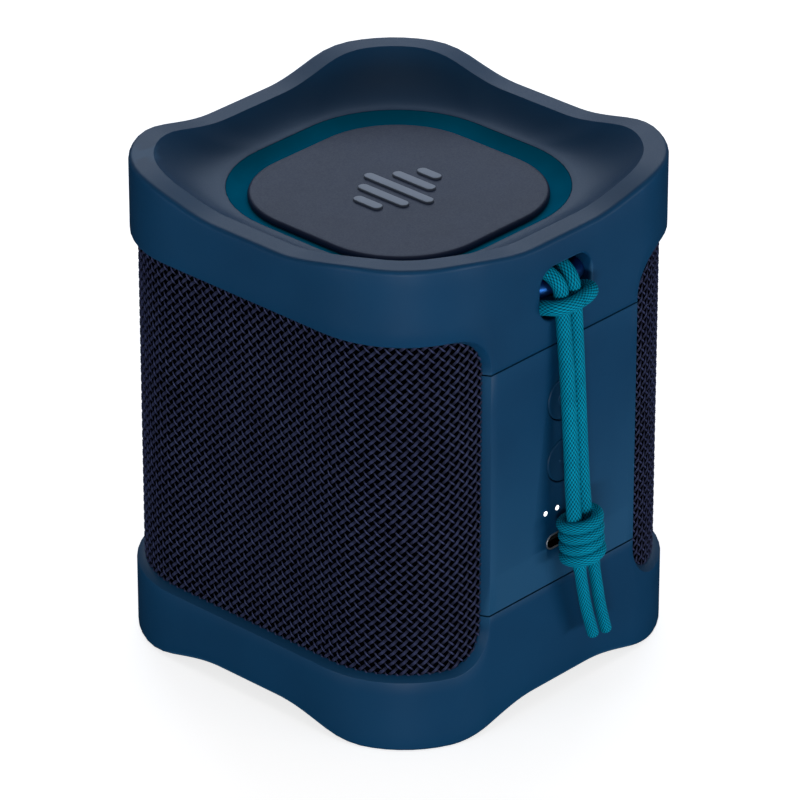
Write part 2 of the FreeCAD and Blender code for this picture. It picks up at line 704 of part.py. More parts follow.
def led_chips():
    """The light sources on the control board, one solid each."""
    chips = []
    front = CONTROL_BOARD_FRONT + LED_CHIP_T
    for x in led_places():
        chips.append(box(x - LED_CHIP_W / 2, x + LED_CHIP_W / 2, -front, -CONTROL_BOARD_FRONT,
                         LED_Z - LED_CHIP_H / 2, LED_Z + LED_CHIP_H / 2))
    return Part.makeCompound(chips)


def button(z):
    """Push button: a round cap in the panel and a flange behind it."""
    cap = front_rod(BUTTON_R, 0, z, BODY_HALF, BUTTON_BACK)
    flange = front_rod(BUTTON_FLANGE_R, 0, z, BUTTON_BACK + BUTTON_FLANGE_T, BUTTON_BACK)
    return merged([cap, flange])


def plunger(z):
    """Plunger of the switch behind a button, which moves with the button."""
    return front_rod(PLUNGER_R, 0, z, BUTTON_BACK, BUTTON_BACK - PLUNGER_L)


def switch_bases():
    """Fixed halves of the two tact switches, one solid each."""
    bases = []
    half = SWITCH_SIDE / 2
    well_floor = BUTTON_BACK - PLUNGER_L - BUTTON_TRAVEL - WELL_PLAY
    for z in (POWER_Z, PAIRING_Z):
        block = box(-half, half, -SWITCH_FRONT, -CONTROL_BOARD_FRONT, z - half, z + half)
        bases.append(block.cut(front_rod(PLUNGER_R + PLUNGER_GAP, 0, z, SWITCH_FRONT + 1, well_floor)))
    return Part.makeCompound(bases)


def control_board():
    """Circuit board behind the panel."""
    return box(-CONTROL_BOARD_W / 2, CONTROL_BOARD_W / 2, -CONTROL_BOARD_FRONT, -BOARD_BACK,
               CONTROL_BOARD_LOW, CONTROL_BOARD_HIGH)


def header_block():
    """Connector that joins both boards through the cabinet's front wall."""
    return box(-HEADER_W / 2, HEADER_W / 2, -BOARD_BACK, -MAIN_BOARD_FRONT,
               HEADER_Z - HEADER_H / 2, HEADER_Z + HEADER_H / 2)


def main_board():
    """Amplifier and radio board inside the cabinet."""
    return box(-MAIN_BOARD_W / 2, MAIN_BOARD_W / 2, -MAIN_BOARD_FRONT, -MAIN_BOARD_BACK,
               MAIN_BOARD_LOW, MAIN_BOARD_HIGH)


def radio_shield():
    """Pressed can over the radio module."""
    z = MAIN_BOARD_HIGH - SHIELD_H
    return box(-SHIELD_W / 2, SHIELD_W / 2, -MAIN_BOARD_BACK, -MAIN_BOARD_BACK + SHIELD_T, z - SHIELD_H / 2,
               z + SHIELD_H / 2)


def board_chips():
    """Amplifier, charger and memory chips, one solid each."""
    chips = []
    for index in range(3):
        x = (index - 1) * 2 * CHIP_SIDE
        z = (MAIN_BOARD_LOW + MAIN_BOARD_HIGH) / 2 - CHIP_DROP
        chips.append(box(x - CHIP_SIDE / 2, x + CHIP_SIDE / 2, -MAIN_BOARD_BACK, -MAIN_BOARD_BACK + CHIP_T,
                         z - CHIP_SIDE / 2, z + CHIP_SIDE / 2))
    return Part.makeCompound(chips)


def battery_cell():
    """Round lithium cell standing in its cradle."""
    return Part.makeCylinder(CELL_R, CELL_L, Vec(0, CELL_Y, LID_TOP + CRADLE_FLOOR))


def battery_cradle():
    """Plastic cup on the lid that holds the cell."""
    inner = CELL_R + CRADLE_GAP
    cup = Part.makeCylinder(inner + CRADLE_WALL, CRADLE_H, Vec(0, CELL_Y, LID_TOP))
    well = Part.makeCylinder(inner, CRADLE_H, Vec(0, CELL_Y, LID_TOP + CRADLE_FLOOR))
    return cup.cut(well)


def battery_clip():
    """Foam collar that steadies the cell's upper end against the rear wall."""
    inner = CELL_R + CRADLE_GAP
    rear = CABINET_HALF - CABINET_WALL
    ring = Part.makeCylinder(inner + CRADLE_WALL, CLIP_H, Vec(0, CELL_Y, CLIP_Z))
    web = box(-CELL_R, CELL_R, CELL_Y, rear, CLIP_Z, CLIP_Z + CLIP_H)
    return merged([ring, web]).cut(Part.makeCylinder(inner, CLIP_H, Vec(0, CELL_Y, CLIP_Z)))


# ---------------------------------------------------------------- drivers
def turned(profile, side):
    """Solid of revolution about a driver's axis.

    The profile is a list of (radius, depth) corners; depth is measured from the
    cabinet's side wall and grows into the cabinet. side is -1 or +1 along X.
    """
    corners = [Vec(side * (CABINET_HALF - depth), 0, DRIVER_Z + radius) for radius, depth in profile]
    face = Part.Face(Part.makePolygon(corners + corners[:1]))
    return face.revolve(Vec(0, 0, DRIVER_Z), X_AXIS, 360)


def driver_basket(side):
    """Pressed frame of a driver, from its flange back to the magnet."""
    front = -DRIVER_GASKET_T - FLANGE_T
    seat = -DRIVER_GASKET_T
    ledge = SPIDER_D + SPIDER_T
    floor = CUP_FRONT - BASKET_FLOOR_T
    ledge_in = SPIDER_R - SPIDER_LEDGE_W
    skirt = SPIDER_R + BASKET_STEP_OUT
    frame = turned([(BASKET_R - BASKET_T, front), (FLANGE_R, front), (FLANGE_R, seat), (BASKET_R, seat),
                    (skirt, ledge), (skirt, CUP_FRONT), (BASKET_EYE_R, CUP_FRONT), (BASKET_EYE_R, floor),
                    (ledge_in, floor), (ledge_in, ledge), (SPIDER_R + BASKET_STEP_IN, ledge)], side)
    low = SPIDER_R + BASKET_WINDOW_RIM
    high = BASKET_R + BASKET_WINDOW_RIM
    back = ledge - BASKET_WINDOW_BACK
    for turn in range(4):
        window = box(-BEYOND, BEYOND, -BASKET_WINDOW_W / 2, BASKET_WINDOW_W / 2,
                     DRIVER_Z + low, DRIVER_Z + FLANGE_R)
        window = window.common(turned([(low, BASKET_WINDOW_FRONT), (high, BASKET_WINDOW_FRONT),
                                       (high, back), (low, back)], side))
        window.rotate(Vec(0, 0, DRIVER_Z), X_AXIS, 90 * turn + 45)
        frame = frame.cut(window)
    for piece in driver_screw_list(side):
        frame = frame.cut(piece)
    return frame


def driver_gasket(side):
    """Foam seal under a driver's flange."""
    ring = turned([(DRIVER_HOLE_R, -DRIVER_GASKET_T), (FLANGE_R, -DRIVER_GASKET_T), (FLANGE_R, 0),
                   (DRIVER_HOLE_R, 0)], side)
    for piece in driver_screw_list(side):
        ring = ring.cut(piece)
    return ring


def driver_gaskets():
    """The seals of both drivers."""
    return Part.makeCompound([driver_gasket(-1), driver_gasket(1)])


def driver_screw_list(side):
    """Four flange screws of one driver."""
    screws = []
    front = -DRIVER_GASKET_T - FLANGE_T
    for turn in range(4):
        y = DRIVER_SCREW_RING * math.cos(math.radians(90 * turn + 45))
        z = DRIVER_Z + DRIVER_SCREW_RING * math.sin(math.radians(90 * turn + 45))
        head_x = side * (CABINET_HALF - front)
        neck_x = head_x - side * DRIVER_SCREW_HEAD_T
        tip_x = side * (CABINET_HALF - DRIVER_SCREW_L)
        head = rod(DRIVER_SCREW_HEAD_R, Vec(head_x, y, z), Vec(neck_x, y, z))
        screws.append(head.fuse(rod(DRIVER_SCREW_R, Vec(neck_x, y, z), Vec(tip_x, y, z))).removeSplitter())
    return screws


def driver_screws():
    """The flange screws of both drivers."""
    return Part.makeCompound(driver_screw_list(-1) + driver_screw_list(1))


def driver_cup(side):
    """Steel cup that carries the magnetic flux round the voice coil."""
    bore = FORMER_R + FORMER_T + WINDING_T + COIL_GAP
    return turned([(0, CUP_BACK), (CUP_R, CUP_BACK), (CUP_R, CUP_FRONT), (bore, CUP_FRONT),
                   (bore, CUP_BACK - CUP_T), (0, CUP_BACK - CUP_T)], side)


def driver_magnet(side):
    """Magnet disc on the floor of the cup."""
    floor = CUP_BACK - CUP_T
    return turned([(0, floor), (POLE_R - MAGNET_STEP, floor), (POLE_R - MAGNET_STEP, CUP_FRONT + POLE_T),
                   (0, CUP_FRONT + POLE_T)], side)


def driver_pole(side):
    """Steel pole plate on the magnet."""
    return turned([(0, CUP_FRONT), (POLE_R, CUP_FRONT), (POLE_R, CUP_FRONT + POLE_T),
                   (0, CUP_FRONT + POLE_T)], side)


def cone_depth(radius):
    """Depth of the cone's front face at a radius."""
    rim_depth = -DRIVER_GASKET_T - FLANGE_T + CONE_SEAT
    share = (CONE_R - radius) / (CONE_R - FORMER_R - FORMER_T)
    return rim_depth + CONE_DEPTH * share


def driver_cone(side):
    """Paper cone between the surround and the voice coil."""
    neck = FORMER_R + FORMER_T
    return turned([(neck, cone_depth(neck)), (CONE_R, cone_depth(CONE_R)), (CONE_R, cone_depth(CONE_R) + CONE_T),
                   (neck, cone_depth(neck) + CONE_T)], side)


def driver_coil(side):
    """Voice coil: former with its winding in the magnet's gap."""
    front = cone_depth(FORMER_R + FORMER_T)
    back = CUP_FRONT + POLE_T + WINDING_L / 2
    start = back - WINDING_L
    outer = FORMER_R + FORMER_T
    return turned([(FORMER_R, front), (outer, front), (outer, start), (outer + WINDING_T, start),
                   (outer + WINDING_T, back), (FORMER_R, back)], side)


def driver_cap(side):
    """Dust cap over the voice coil."""
    front = cone_depth(FORMER_R + FORMER_T)
    return turned([(0, front - CAP_T), (FORMER_R + FORMER_T, front - CAP_T), (FORMER_R + FORMER_T, front),
                   (0, front)], side)


def driver_surround(side):
    """Rubber edge between the cone and the basket, with an inward roll."""
    rest = -DRIVER_GASKET_T - FLANGE_T
    skin = EDGE_SKIN
    inner = CONE_R - EDGE_GLUE_W
    roll_out = BASKET_R - BASKET_T - ROLL_GAP
    roll_in = roll_out - 2 * ROLL_R
    outer = roll_out + EDGE_LAND_W
    glue = rest + CONE_SEAT
    return turned([(inner, glue - skin), (roll_in, glue - skin), (roll_in + ROLL_R, rest + ROLL_R),
                   (roll_out, rest - skin), (outer, rest - skin), (outer, rest),
                   (roll_out + EDGE_FOOT_W, rest), (roll_in + ROLL_R, rest + ROLL_R + skin),
                   (roll_in, glue), (inner, glue)], side)


def driver_spider(side):
    """Corrugated cloth disc that centres the voice coil."""
    neck = FORMER_R + FORMER_T
    front = SPIDER_D
    pitch = (SPIDER_R - SPIDER_LEDGE_W - SPIDER_PLAY - neck) / SPIDER_WAVES
    upper = [(neck + pitch * index, front + (SPIDER_WAVE_H if 0 < index < SPIDER_WAVES and index % 2 else 0))
             for index in range(SPIDER_WAVES + 1)] + [(SPIDER_R, front)]
    lower = [(radius, depth + SPIDER_T) for radius, depth in reversed(upper)]
    return turned(upper + lower, side)


# ---------------------------------------------------------------- lanyard
def tube_along(points, radius):
    """Tube on straight runs joined by arcs; prints each bend's radius."""
    edges = []
    start = points[0]
    for before, corner, after in zip(points, points[1:], points[2:]):
        way_in = (corner - before).normalize()
        way_out = (after - corner).normalize()
        turn = way_in.getAngle(way_out)
        tangent = 0.45 * min((corner - before).Length, (after - corner).Length)
        bend_in = corner - way_in * tangent
        bend_out = corner + way_out * tangent
        bend_r = tangent / math.tan(turn / 2)
        middle = corner + (way_out - way_in).normalize() * (bend_r / math.cos(turn / 2) - bend_r)
        edges.append(Part.LineSegment(start, bend_in).toShape())
        edges.append(Part.Arc(bend_in, middle, bend_out).toShape())
        print("bend radius %.1f mm" % bend_r)
        start = bend_out
    edges.append(Part.LineSegment(start, points[-1]).toShape())
    path = Part.Wire(edges)
    section = Part.Wire(Part.makeCircle(radius, points[0], points[1] - points[0]))
    tube = path.makePipeShell([section], True, False)
    print("tube volume %.2f, section x length %.2f" % (tube.Volume, math.pi * radius ** 2 * path.Length))
    print("length %.1f mm" % path.Length)
    return tube


def cord_hitch():
    """Outer shape of the lark's head: a band over the bar, its drop and the bight across."""
    band_low = STRAND_X[0] - CORD_R
    band_high = STRAND_X[1] + CORD_R
    inner_r = BAR_R + HITCH_GAP
    start = Vec(band_low, -BAR_Y, BAR_Z)
    end = Vec(band_high, -BAR_Y, BAR_Z)
    drop = box(band_low, band_high, -STRAND_TOP_Y - CORD_R, -STRAND_TOP_Y + CORD_R, HITCH_BOTTOM, BAR_Z)
    bight = rod(CORD_R, Vec(HITCH_LEFT, -HITCH_Y, HITCH_Z), Vec(HITCH_RIGHT, -HITCH_Y, HITCH_Z))
    hitch = merged([rod(inner_r + 2 * CORD_R, start, end), drop, bight])
    return hitch.cut(rod(inner_r, start, end))


def cord_strand(x):
    """One straight strand between the hitch and the knot."""
    return rod(CORD_R, Vec(x, -STRAND_TOP_Y, HITCH_BOTTOM), Vec(x, -KNOT_Y, KNOT_HIGH))


def cord_knot():
    """Outer shape of the wound knot."""
    barrel = Part.makeCylinder(KNOT_R, KNOT_HIGH - KNOT_LOW, Vec(KNOT_X, -KNOT_Y, KNOT_LOW))
    rims = [edge for edge in barrel.Edges if edge.Closed and abs(edge.BoundBox.ZLength) < 0.01]
    return barrel.makeFillet(KNOT_ROUND, rims)


# ---------------------------------------------------------------- all parts
def build_all():
    """Every sub-part by node name."""
    parts = {
        "top_housing": top_housing(),
        "bottom_housing": bottom_housing(),
        "control_panel": control_panel(),
        "grille_fabric": grille_fabric(),
        "grille_frame": grille_frame(),
        "cabinet": cabinet(),
        "cabinet_lid": cabinet_lid(),
        "lid_gasket": lid_gasket(),
        "top_screws": Part.makeCompound(top_screw_list()),
        "base_screws": Part.makeCompound(base_screw_list()),
        "radiator_frame": radiator_frame(),
        "radiator_gasket": radiator_gasket(),
        "radiator_surround": radiator_surround(),
        "radiator_plate": radiator_plate(),
        "radiator_weight": radiator_weight(),
        "usb_shell": usb_shell(),
        "usb_tongue": usb_tongue(),
        "usb_seal": usb_seal(),
        "light_pipes": light_pipes(),
        "led_chips": led_chips(),
        "power_button": button(POWER_Z),
        "power_plunger": plunger(POWER_Z),
        "pairing_button": button(PAIRING_Z),
        "pairing_plunger": plunger(PAIRING_Z),
        "switch_bases": switch_bases(),
        "control_board": control_board(),
        "board_header": header_block(),
        "main_board": main_board(),
        "radio_shield": radio_shield(),
        "board_chips": board_chips(),
        "battery_cell": battery_cell(),
        "battery_cradle": battery_cradle(),
        "battery_clip": battery_clip(),
        "driver_gaskets": driver_gaskets(),
        "driver_screws": driver_screws(),
        "lanyard_bar": lanyard_bar(),
        "cord_hitch": cord_hitch(),
        "cord_strand_left": cord_strand(STRAND_X[0]),
        "cord_strand_right": cord_strand(STRAND_X[1]),
        "cord_knot": cord_knot(),
        "cord_tail_left": tube_along(LEFT_TAIL, CORD_R),
        "cord_tail_right": tube_along(RIGHT_TAIL, CORD_R),
    }
    for name, side in (("left", -1), ("right", 1)):
        parts[name + "_basket"] = driver_basket(side)
        parts[name + "_cup"] = driver_cup(side)
        parts[name + "_magnet"] = driver_magnet(side)
        parts[name + "_pole"] = driver_pole(side)
        parts[name + "_cone"] = driver_cone(side)
        parts[name + "_coil"] = driver_coil(side)
        parts[name + "_cap"] = driver_cap(side)
        parts[name + "_surround"] = driver_surround(side)
        parts[name + "_spider"] = driver_spider(side)
    return parts


def write_parts():
    """Write one STEP file per sub-part."""
    os.makedirs("parts", exist_ok=True)
    for node, shape in build_all().items():
        shape.exportStep("parts/" + node + ".step")
        print(node, "solids", len(shape.Solids), "volume %.1f" % shape.Volume, "valid", shape.isValid())


write_parts()
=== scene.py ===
"""Portable wireless speaker with a wrist lanyard: the looks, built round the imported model.

Sizes are in millimetres and become metres when a mesh is made. +Z is up, and the control panel faces -Y.
"""

import logging
import math
from collections.abc import Iterable, Mapping, Sequence
from dataclasses import dataclass
from enum import Enum
from typing import Any

import bmesh
import bpy
import numpy as np
from bpy.types import Material, Node, NodeSocket, NodeTree, Object
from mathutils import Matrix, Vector


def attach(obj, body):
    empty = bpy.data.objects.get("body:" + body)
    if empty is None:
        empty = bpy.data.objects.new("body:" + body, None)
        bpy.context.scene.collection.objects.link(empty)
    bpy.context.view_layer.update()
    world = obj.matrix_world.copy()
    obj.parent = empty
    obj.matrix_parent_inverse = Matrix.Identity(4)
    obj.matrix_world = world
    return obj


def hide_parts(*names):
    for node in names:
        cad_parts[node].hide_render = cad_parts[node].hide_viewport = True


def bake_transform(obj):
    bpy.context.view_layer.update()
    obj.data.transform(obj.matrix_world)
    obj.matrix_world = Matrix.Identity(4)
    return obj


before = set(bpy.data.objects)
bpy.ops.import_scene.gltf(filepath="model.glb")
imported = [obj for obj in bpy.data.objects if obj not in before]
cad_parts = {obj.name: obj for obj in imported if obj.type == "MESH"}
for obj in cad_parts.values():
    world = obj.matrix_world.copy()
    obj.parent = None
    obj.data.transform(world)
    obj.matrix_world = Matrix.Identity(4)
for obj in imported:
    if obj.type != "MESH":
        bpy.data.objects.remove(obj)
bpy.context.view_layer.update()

LOG = logging.getLogger("speaker")
MM = 0.001
BODY = "speaker_body"
QUARTER = math.pi / 2
Array = np.ndarray
Pairs = Sequence[Sequence[float]]
SIDES = {"left": -1, "right": 1}


# ---- meshes
@dataclass(frozen=True)
class Outline:
    """Rectangle with rounded corners, walked anticlockwise from the start of its +X side."""

    half_x: float
    half_y: float
    radius: float

    def walk(self, u: Array) -> tuple[Array, Array]:
        """Points and outward normals along the outline.

        A point is a corner's centre plus the radius times the normal. On an even unit of u the centre slides
        along a side, and on an odd unit the normal turns by a quarter.

        Args:
            u: places from 0 to 8, two units to each side and its corner.

        Returns:
            Points and unit normals, each with a last axis of two.
        """
        u = np.asarray(u, float) % 8
        side = np.floor(u / 2).astype(int)
        rest = u - 2 * side
        angle = (side + np.clip(rest - 1, 0, 1)) * QUARTER
        normal = np.stack((np.cos(angle), np.sin(angle)), -1)
        flat = np.array((self.half_x - self.radius, self.half_y - self.radius))
        corners = np.array(((1, -1), (1, 1), (-1, 1), (-1, -1), (1, -1))) * flat
        start, end = corners[side], corners[side + 1]
        centre = start + (end - start) * np.clip(rest, 0, 1)[..., None]
        return centre + self.radius * normal, normal

    def grown(self, by: float) -> "Outline":
        """The parallel outline that lies further out by that much."""
        return Outline(self.half_x + by, self.half_y + by, self.radius + by)

    def at(self, u: Array, z: Array | float) -> Array:
        """A ring of points of the outline at a height."""
        return raised(self.walk(u)[0], z)


def around(count: int) -> Array:
    """Even places all the way round an outline."""
    return np.linspace(0, 8, count + 1)[:-1]


def full_turn(count: int) -> Array:
    """Even angles of a full turn."""
    return np.arange(count) * 2 * math.pi / count


def raised(points: Array, z: Array | float) -> Array:
    """Flat points lifted to a height."""
    return np.concatenate((points, np.broadcast_to(z, points.shape[:-1])[..., None]), -1)


def linked(name: str, data: bpy.types.ID) -> Object:
    """A new object of the scene with this mesh, curve, lamp or camera."""
    made = bpy.data.objects.new(name, data)
    bpy.context.scene.collection.objects.link(made)
    return made


def new_object(name: str, points: Array, faces: Iterable[Array], uv: Array | None = None) -> Object:
    """Object at the origin from arrays.

    Args:
        name: name of the object.
        points: vertices in millimetres, one row each.
        faces: arrays of vertex numbers, one row for each face, all faces of an array with as many corners.
        uv: pattern coordinates for each face corner, in the order of the faces.

    Returns:
        The linked object.
    """
    faces = [np.asarray(block, np.int32) for block in faces if len(block)]
    lengths = np.concatenate([np.full(len(block), block.shape[1], np.int32) for block in faces])
    mesh = bpy.data.meshes.new(name)
    mesh.vertices.add(len(points))
    mesh.vertices.foreach_set("co", (np.asarray(points, float) * MM).astype(np.float32).ravel())
    mesh.loops.add(int(lengths.sum()))
    mesh.loops.foreach_set("vertex_index", np.concatenate([block.ravel() for block in faces]))
    mesh.polygons.add(len(lengths))
    mesh.polygons.foreach_set("loop_start", np.concatenate(((0,), np.cumsum(lengths)[:-1])).astype(np.int32))
    if uv is not None:
        mesh.uv_layers.new(name="UVMap").data.foreach_set("uv", uv.astype(np.float32).ravel())
    mesh.update(calc_edges=True)
    return linked(name, mesh)


def settle(obj: Object, angle: float = 32.0, recalc: bool = True) -> Object:
    """Merge doubles, drop faces without area, face outwards and shade smooth up to an angle.

    Args:
        obj: the object.
        angle: edges sharper than this, in degrees, stay sharp.
        recalc: whether the normals are recalculated.

    Returns:
        The same object.
    """
    work = bmesh.new()
    work.from_mesh(obj.data)
    bmesh.ops.remove_doubles(work, verts=work.verts, dist=1e-6)
    bmesh.ops.dissolve_degenerate(work, edges=work.edges, dist=1e-7)
    if recalc:
        bmesh.ops.recalc_face_normals(work, faces=work.faces)
    work.to_mesh(obj.data)
    work.free()
    obj.data.shade_smooth()
    obj.data.set_sharp_from_angle(angle=math.radians(angle))
    return obj


def loft(name: str, rows: Array, loop: bool = False, caps: bool = False, along: Array | None = None,
         angle: float = 32.0) -> Object:
    """Skin through rings of points: a quad joins each point to its neighbours on its ring and on the next.

    Args:
        name: name of the object.
        rows: rings in millimetres, as rings by points by three.
        loop: whether the last ring joins the first.
        caps: whether the end rings are closed by a face.
        along: length of each ring along the piece, which gives it a pattern map.
        angle: edges sharper than this, in degrees, stay sharp.

    Returns:
        The finished object.
    """
    count, sides = rows.shape[:2]
    row = np.arange(count if loop else count - 1)[:, None]
    column = np.arange(sides)[None, :]
    after, beside = (row + 1) % count, (column + 1) % sides
    quads = np.stack((row * sides + column, row * sides + beside, after * sides + beside, after * sides + column), -1)
    faces, uv = [quads.reshape(-1, 4)], None
    if along is not None:
        turn = (column[..., None] + (0, 1, 1, 0)) / sides
        run = np.stack((along[:-1], along[:-1], along[1:], along[1:]), -1)[:, None]
        uv = np.stack(np.broadcast_arrays(turn, run), -1).reshape(-1, 2)
    if caps:
        ends = np.stack((np.arange(sides)[::-1], (count - 1) * sides + np.arange(sides)))
        faces.append(ends)
        if uv is not None:
            uv = np.concatenate((uv, np.zeros((2 * sides, 2))))
    return settle(new_object(name, rows.reshape(-1, 3), faces, uv), angle)


def turned(name: str, profile: Pairs, centre: Sequence[float], axis: Sequence[float],
           sides: int = 48) -> Object:
    """Solid of revolution: each profile point makes a circle round the axis.

    Args:
        name: name of the object.
        profile: pairs of radius and place along the axis, from radius 0 to radius 0.
        centre: point of the axis from which places are counted.
        axis: unit direction of the axis.
        sides: points on each circle.

    Returns:
        The finished object.
    """
    n = np.array(axis, float)
    a = np.cross(n, (0.0, 0.0, 1.0) if abs(n[2]) < 0.9 else (1.0, 0.0, 0.0))
    a /= np.linalg.norm(a)
    b = np.cross(n, a)
    t = full_turn(sides)
    circle = np.cos(t)[:, None] * a + np.sin(t)[:, None] * b
    pr = np.array(profile, float)
    return loft(name, np.array(centre, float) + pr[:, :1, None] * circle[None] + pr[:, 1:, None] * n)


def sunk(outline: Outline, u: Array, z: float, stations: Pairs) -> Array:
    """Rings of an outline that is stood up in the front's plane and carried into the front.

    Args:
        outline: the section.
        u: places on it.
        z: height of its middle.
        stations: for each ring its depth y and how much the section has grown there.

    Returns:
        The rings.
    """
    rows = []
    for y, by in stations:
        flat = outline.grown(by).walk(u)[0]
        rows.append(np.stack((flat[:, 0], np.full(len(flat), y), flat[:, 1] + z), -1))
    return np.array(rows)


def corner_arc(steps: int = 5) -> Array:
    """Angles of a quarter turn, ends included."""
    return np.linspace(0, QUARTER, steps)


def joined(name: str, parts: Sequence[Object]) -> Object:
    """One object from several, with their pattern maps and attributes kept."""
    work = bmesh.new()
    for part in parts:
        work.from_mesh(part.data)
    mesh = bpy.data.meshes.new(name)
    work.to_mesh(mesh)
    work.free()
    for part in parts:
        bpy.data.objects.remove(part)
    return linked(name, mesh)


class Cut(Enum):
    """What a tool does to a solid."""

    AWAY = "DIFFERENCE"
    ONTO = "UNION"


def carve(obj: Object, tool: Object, how: Cut = Cut.AWAY) -> Object:
    """Cut a tool out of a solid or add it, and keep only the result."""
    change = obj.modifiers.new("carve", "BOOLEAN")
    change.operation, change.object, change.solver = how.value, tool, "EXACT"
    graph = bpy.context.evaluated_depsgraph_get()
    mesh = bpy.data.meshes.new_from_object(obj.evaluated_get(graph))
    obj.modifiers.clear()
    obj.data = mesh
    bpy.data.objects.remove(tool)
    return settle(obj, recalc=False)


def place(obj: Object, finish: "Finish", slot: str, body: str, *stands_for: str) -> Object:
    """Dress a piece, let it ride on a body and hide the model's nodes that it stands for."""
    obj.data.materials.clear()
    obj.data.materials.append(finish.material())
    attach(obj, body)
    if stands_for:
        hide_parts(*stands_for)
    LOG.info("%s: %d faces, finish %s", obj.name, len(obj.data.polygons), finish.name)
    return obj


# ---- finishes
def linear(code: str) -> tuple[float, float, float, float]:
    """Linear colour of an sRGB hex code: each channel is divided by 12.92 when dark, and else raised to 2.4."""
    values = [int(code[i:i + 2], 16) / 255 for i in (1, 3, 5)]
    return (*(c / 12.92 if c <= 0.04045 else ((c + 0.055) / 1.055) ** 2.4 for c in values), 1.0)


def add(tree: NodeTree, kind: str, inputs: Mapping[Any, Any] | None = None, **settings: Any) -> Node:
    """Add one node.

    Args:
        tree: the tree it goes into.
        kind: the node's type name, less its first word, ShaderNode.
        inputs: for each input's name or number, a socket to link or a value to set.
        settings: the node's own settings.

    Returns:
        The node.
    """
    made = tree.nodes.new("ShaderNode" + kind)
    for key, value in settings.items():
        setattr(made, key, value)
    for key, value in (inputs or {}).items():
        if isinstance(value, NodeSocket):
            tree.links.new(value, made.inputs[key])
        else:
            made.inputs[key].default_value = value
    return made


def empty_tree(holder: bpy.types.ID) -> NodeTree:
    """The cleared node tree of a material or a world."""
    holder.use_nodes = True
    holder.node_tree.nodes.clear()
    return holder.node_tree


def mixed(tree: NodeTree, share: Any, first: Any, second: Any) -> NodeSocket:
    """Socket of the colour that goes from the first to the second as the share goes from 0 to 1."""
    return add(tree, "Mix", {0: share, 6: first, 7: second}, data_type="RGBA").outputs[2]


def ranged(tree: NodeTree, value: NodeSocket, start: float, end: float, low: float = 0.0,
           high: float = 1.0) -> NodeSocket:
    """Socket that goes from low to high as the value goes from start to end, and is level outside."""
    return add(tree, "MapRange", {"Value": value, 1: start, 2: end, 3: low, 4: high}).outputs[0]


class Pattern(Enum):
    """The relief that a finish has in place of its grain."""

    NONE = "none"
    WOUND = "wound"
    STRANDS = "strands"


@dataclass(frozen=True)
class Finish:
    """A finish: two colours that clouds mix, a roughness range, and a relief of fine grain or of a pattern.

    Colours are sRGB codes, sizes are millimetres. Noise of the grain's size gives both the relief and the roughness.
    Noise of the cloud's size mixes the colours. The edge colour is a painted highlight where the surface is convex,
    and the crossing shade colour is painted shade where a mesh says that strands cross.
    """

    name: str
    colour: str
    second: str
    rough: float
    rough_to: float
    grain: float = 0.25
    depth: float = 0.006
    cloud: float = 14.0
    metallic: float = 0.0
    specular: float = 0.3
    edge: str = ""
    crossing_shade: str = ""
    pattern: Pattern = Pattern.NONE
    pitch: float = 0.5
    glow: float = 0.0

    def material(self) -> Material:
        """The material, made once and then shared."""
        known = bpy.data.materials.get(self.name)
        if known:
            return known
        made = bpy.data.materials.new(self.name)
        tree = empty_tree(made)
        place_of = add(tree, "TexCoord")
        here = place_of.outputs["Object"]
        clouds = add(tree, "TexNoise", {"Vector": here, "Scale": 1 / (self.cloud * MM), "Detail": 3.0})
        grain = add(tree, "TexNoise", {"Vector": here, "Scale": 1 / (self.grain * MM), "Detail": 2.0})
        spread = ranged(tree, clouds.outputs[0], 0.35, 0.65)
        colour = mixed(tree, spread, linear(self.colour), linear(self.second))
        colour, height = self.relief(tree, place_of, colour, grain.outputs[0])
        # Painted highlight: a paler edge colour on sharp convex edges, where light would catch.
        if self.edge:
            convex = add(tree, "NewGeometry").outputs["Pointiness"]
            colour = mixed(tree, ranged(tree, convex, 0.53, 0.62, 0.0, 0.75), colour, linear(self.edge))
        rough = ranged(tree, grain.outputs[0], 0.3, 0.7, self.rough, self.rough_to)
        bump = add(tree, "Bump", {"Strength": 1.0, "Distance": self.depth * MM, "Height": height})
        shader = add(tree, "BsdfPrincipled", {
            "Base Color": colour, "Roughness": rough, "Normal": bump.outputs[0], "Metallic": self.metallic,
            "Specular IOR Level": 0.5 if self.metallic else self.specular,
        })
        if self.glow:
            shader.inputs["Emission Color"].default_value = linear(self.colour)
            shader.inputs["Emission Strength"].default_value = self.glow
        add(tree, "OutputMaterial", {"Surface": shader.outputs[0]})
        return made

    def relief(self, tree: NodeTree, place_of: Node, colour: NodeSocket,
               height: NodeSocket) -> tuple[NodeSocket, NodeSocket]:
        """Colour and height with the finish's pattern on them.

        Args:
            tree: the material's tree.
            place_of: its coordinates.
            colour: the colour so far.
            height: the height so far.

        Returns:
            The new colour and height sockets.
        """
        if self.pattern is Pattern.WOUND:
            around_axis = {"Vector": place_of.outputs["Object"], "Scale": 0.05 / (self.pitch * MM), "Distortion": 0.6}
            return colour, add(tree, "TexWave", around_axis, wave_type="RINGS").outputs[1]
        if self.pattern is Pattern.STRANDS:
            crown = add(tree, "Attribute", attribute_name="crown").outputs["Fac"]
            # Painted shade: the colour darkens to the crossing shade colour where the strands dip under one another.
            colour = mixed(tree, ranged(tree, crown, -0.35, 0.75), linear(self.crossing_shade), colour)
            fibre = add(tree, "Mapping", {
                "Vector": place_of.outputs["UV"], "Rotation": (0.0, 0.0, 0.5), "Scale": (8.0, 1.0, 1.0),
            })
            threads = add(tree, "TexWave", {
                "Vector": fibre.outputs[0], "Scale": 0.35 / self.pitch, "Distortion": 1.5, "Detail": 2.0,
            })
            return colour, threads.outputs[1]
        return colour, height
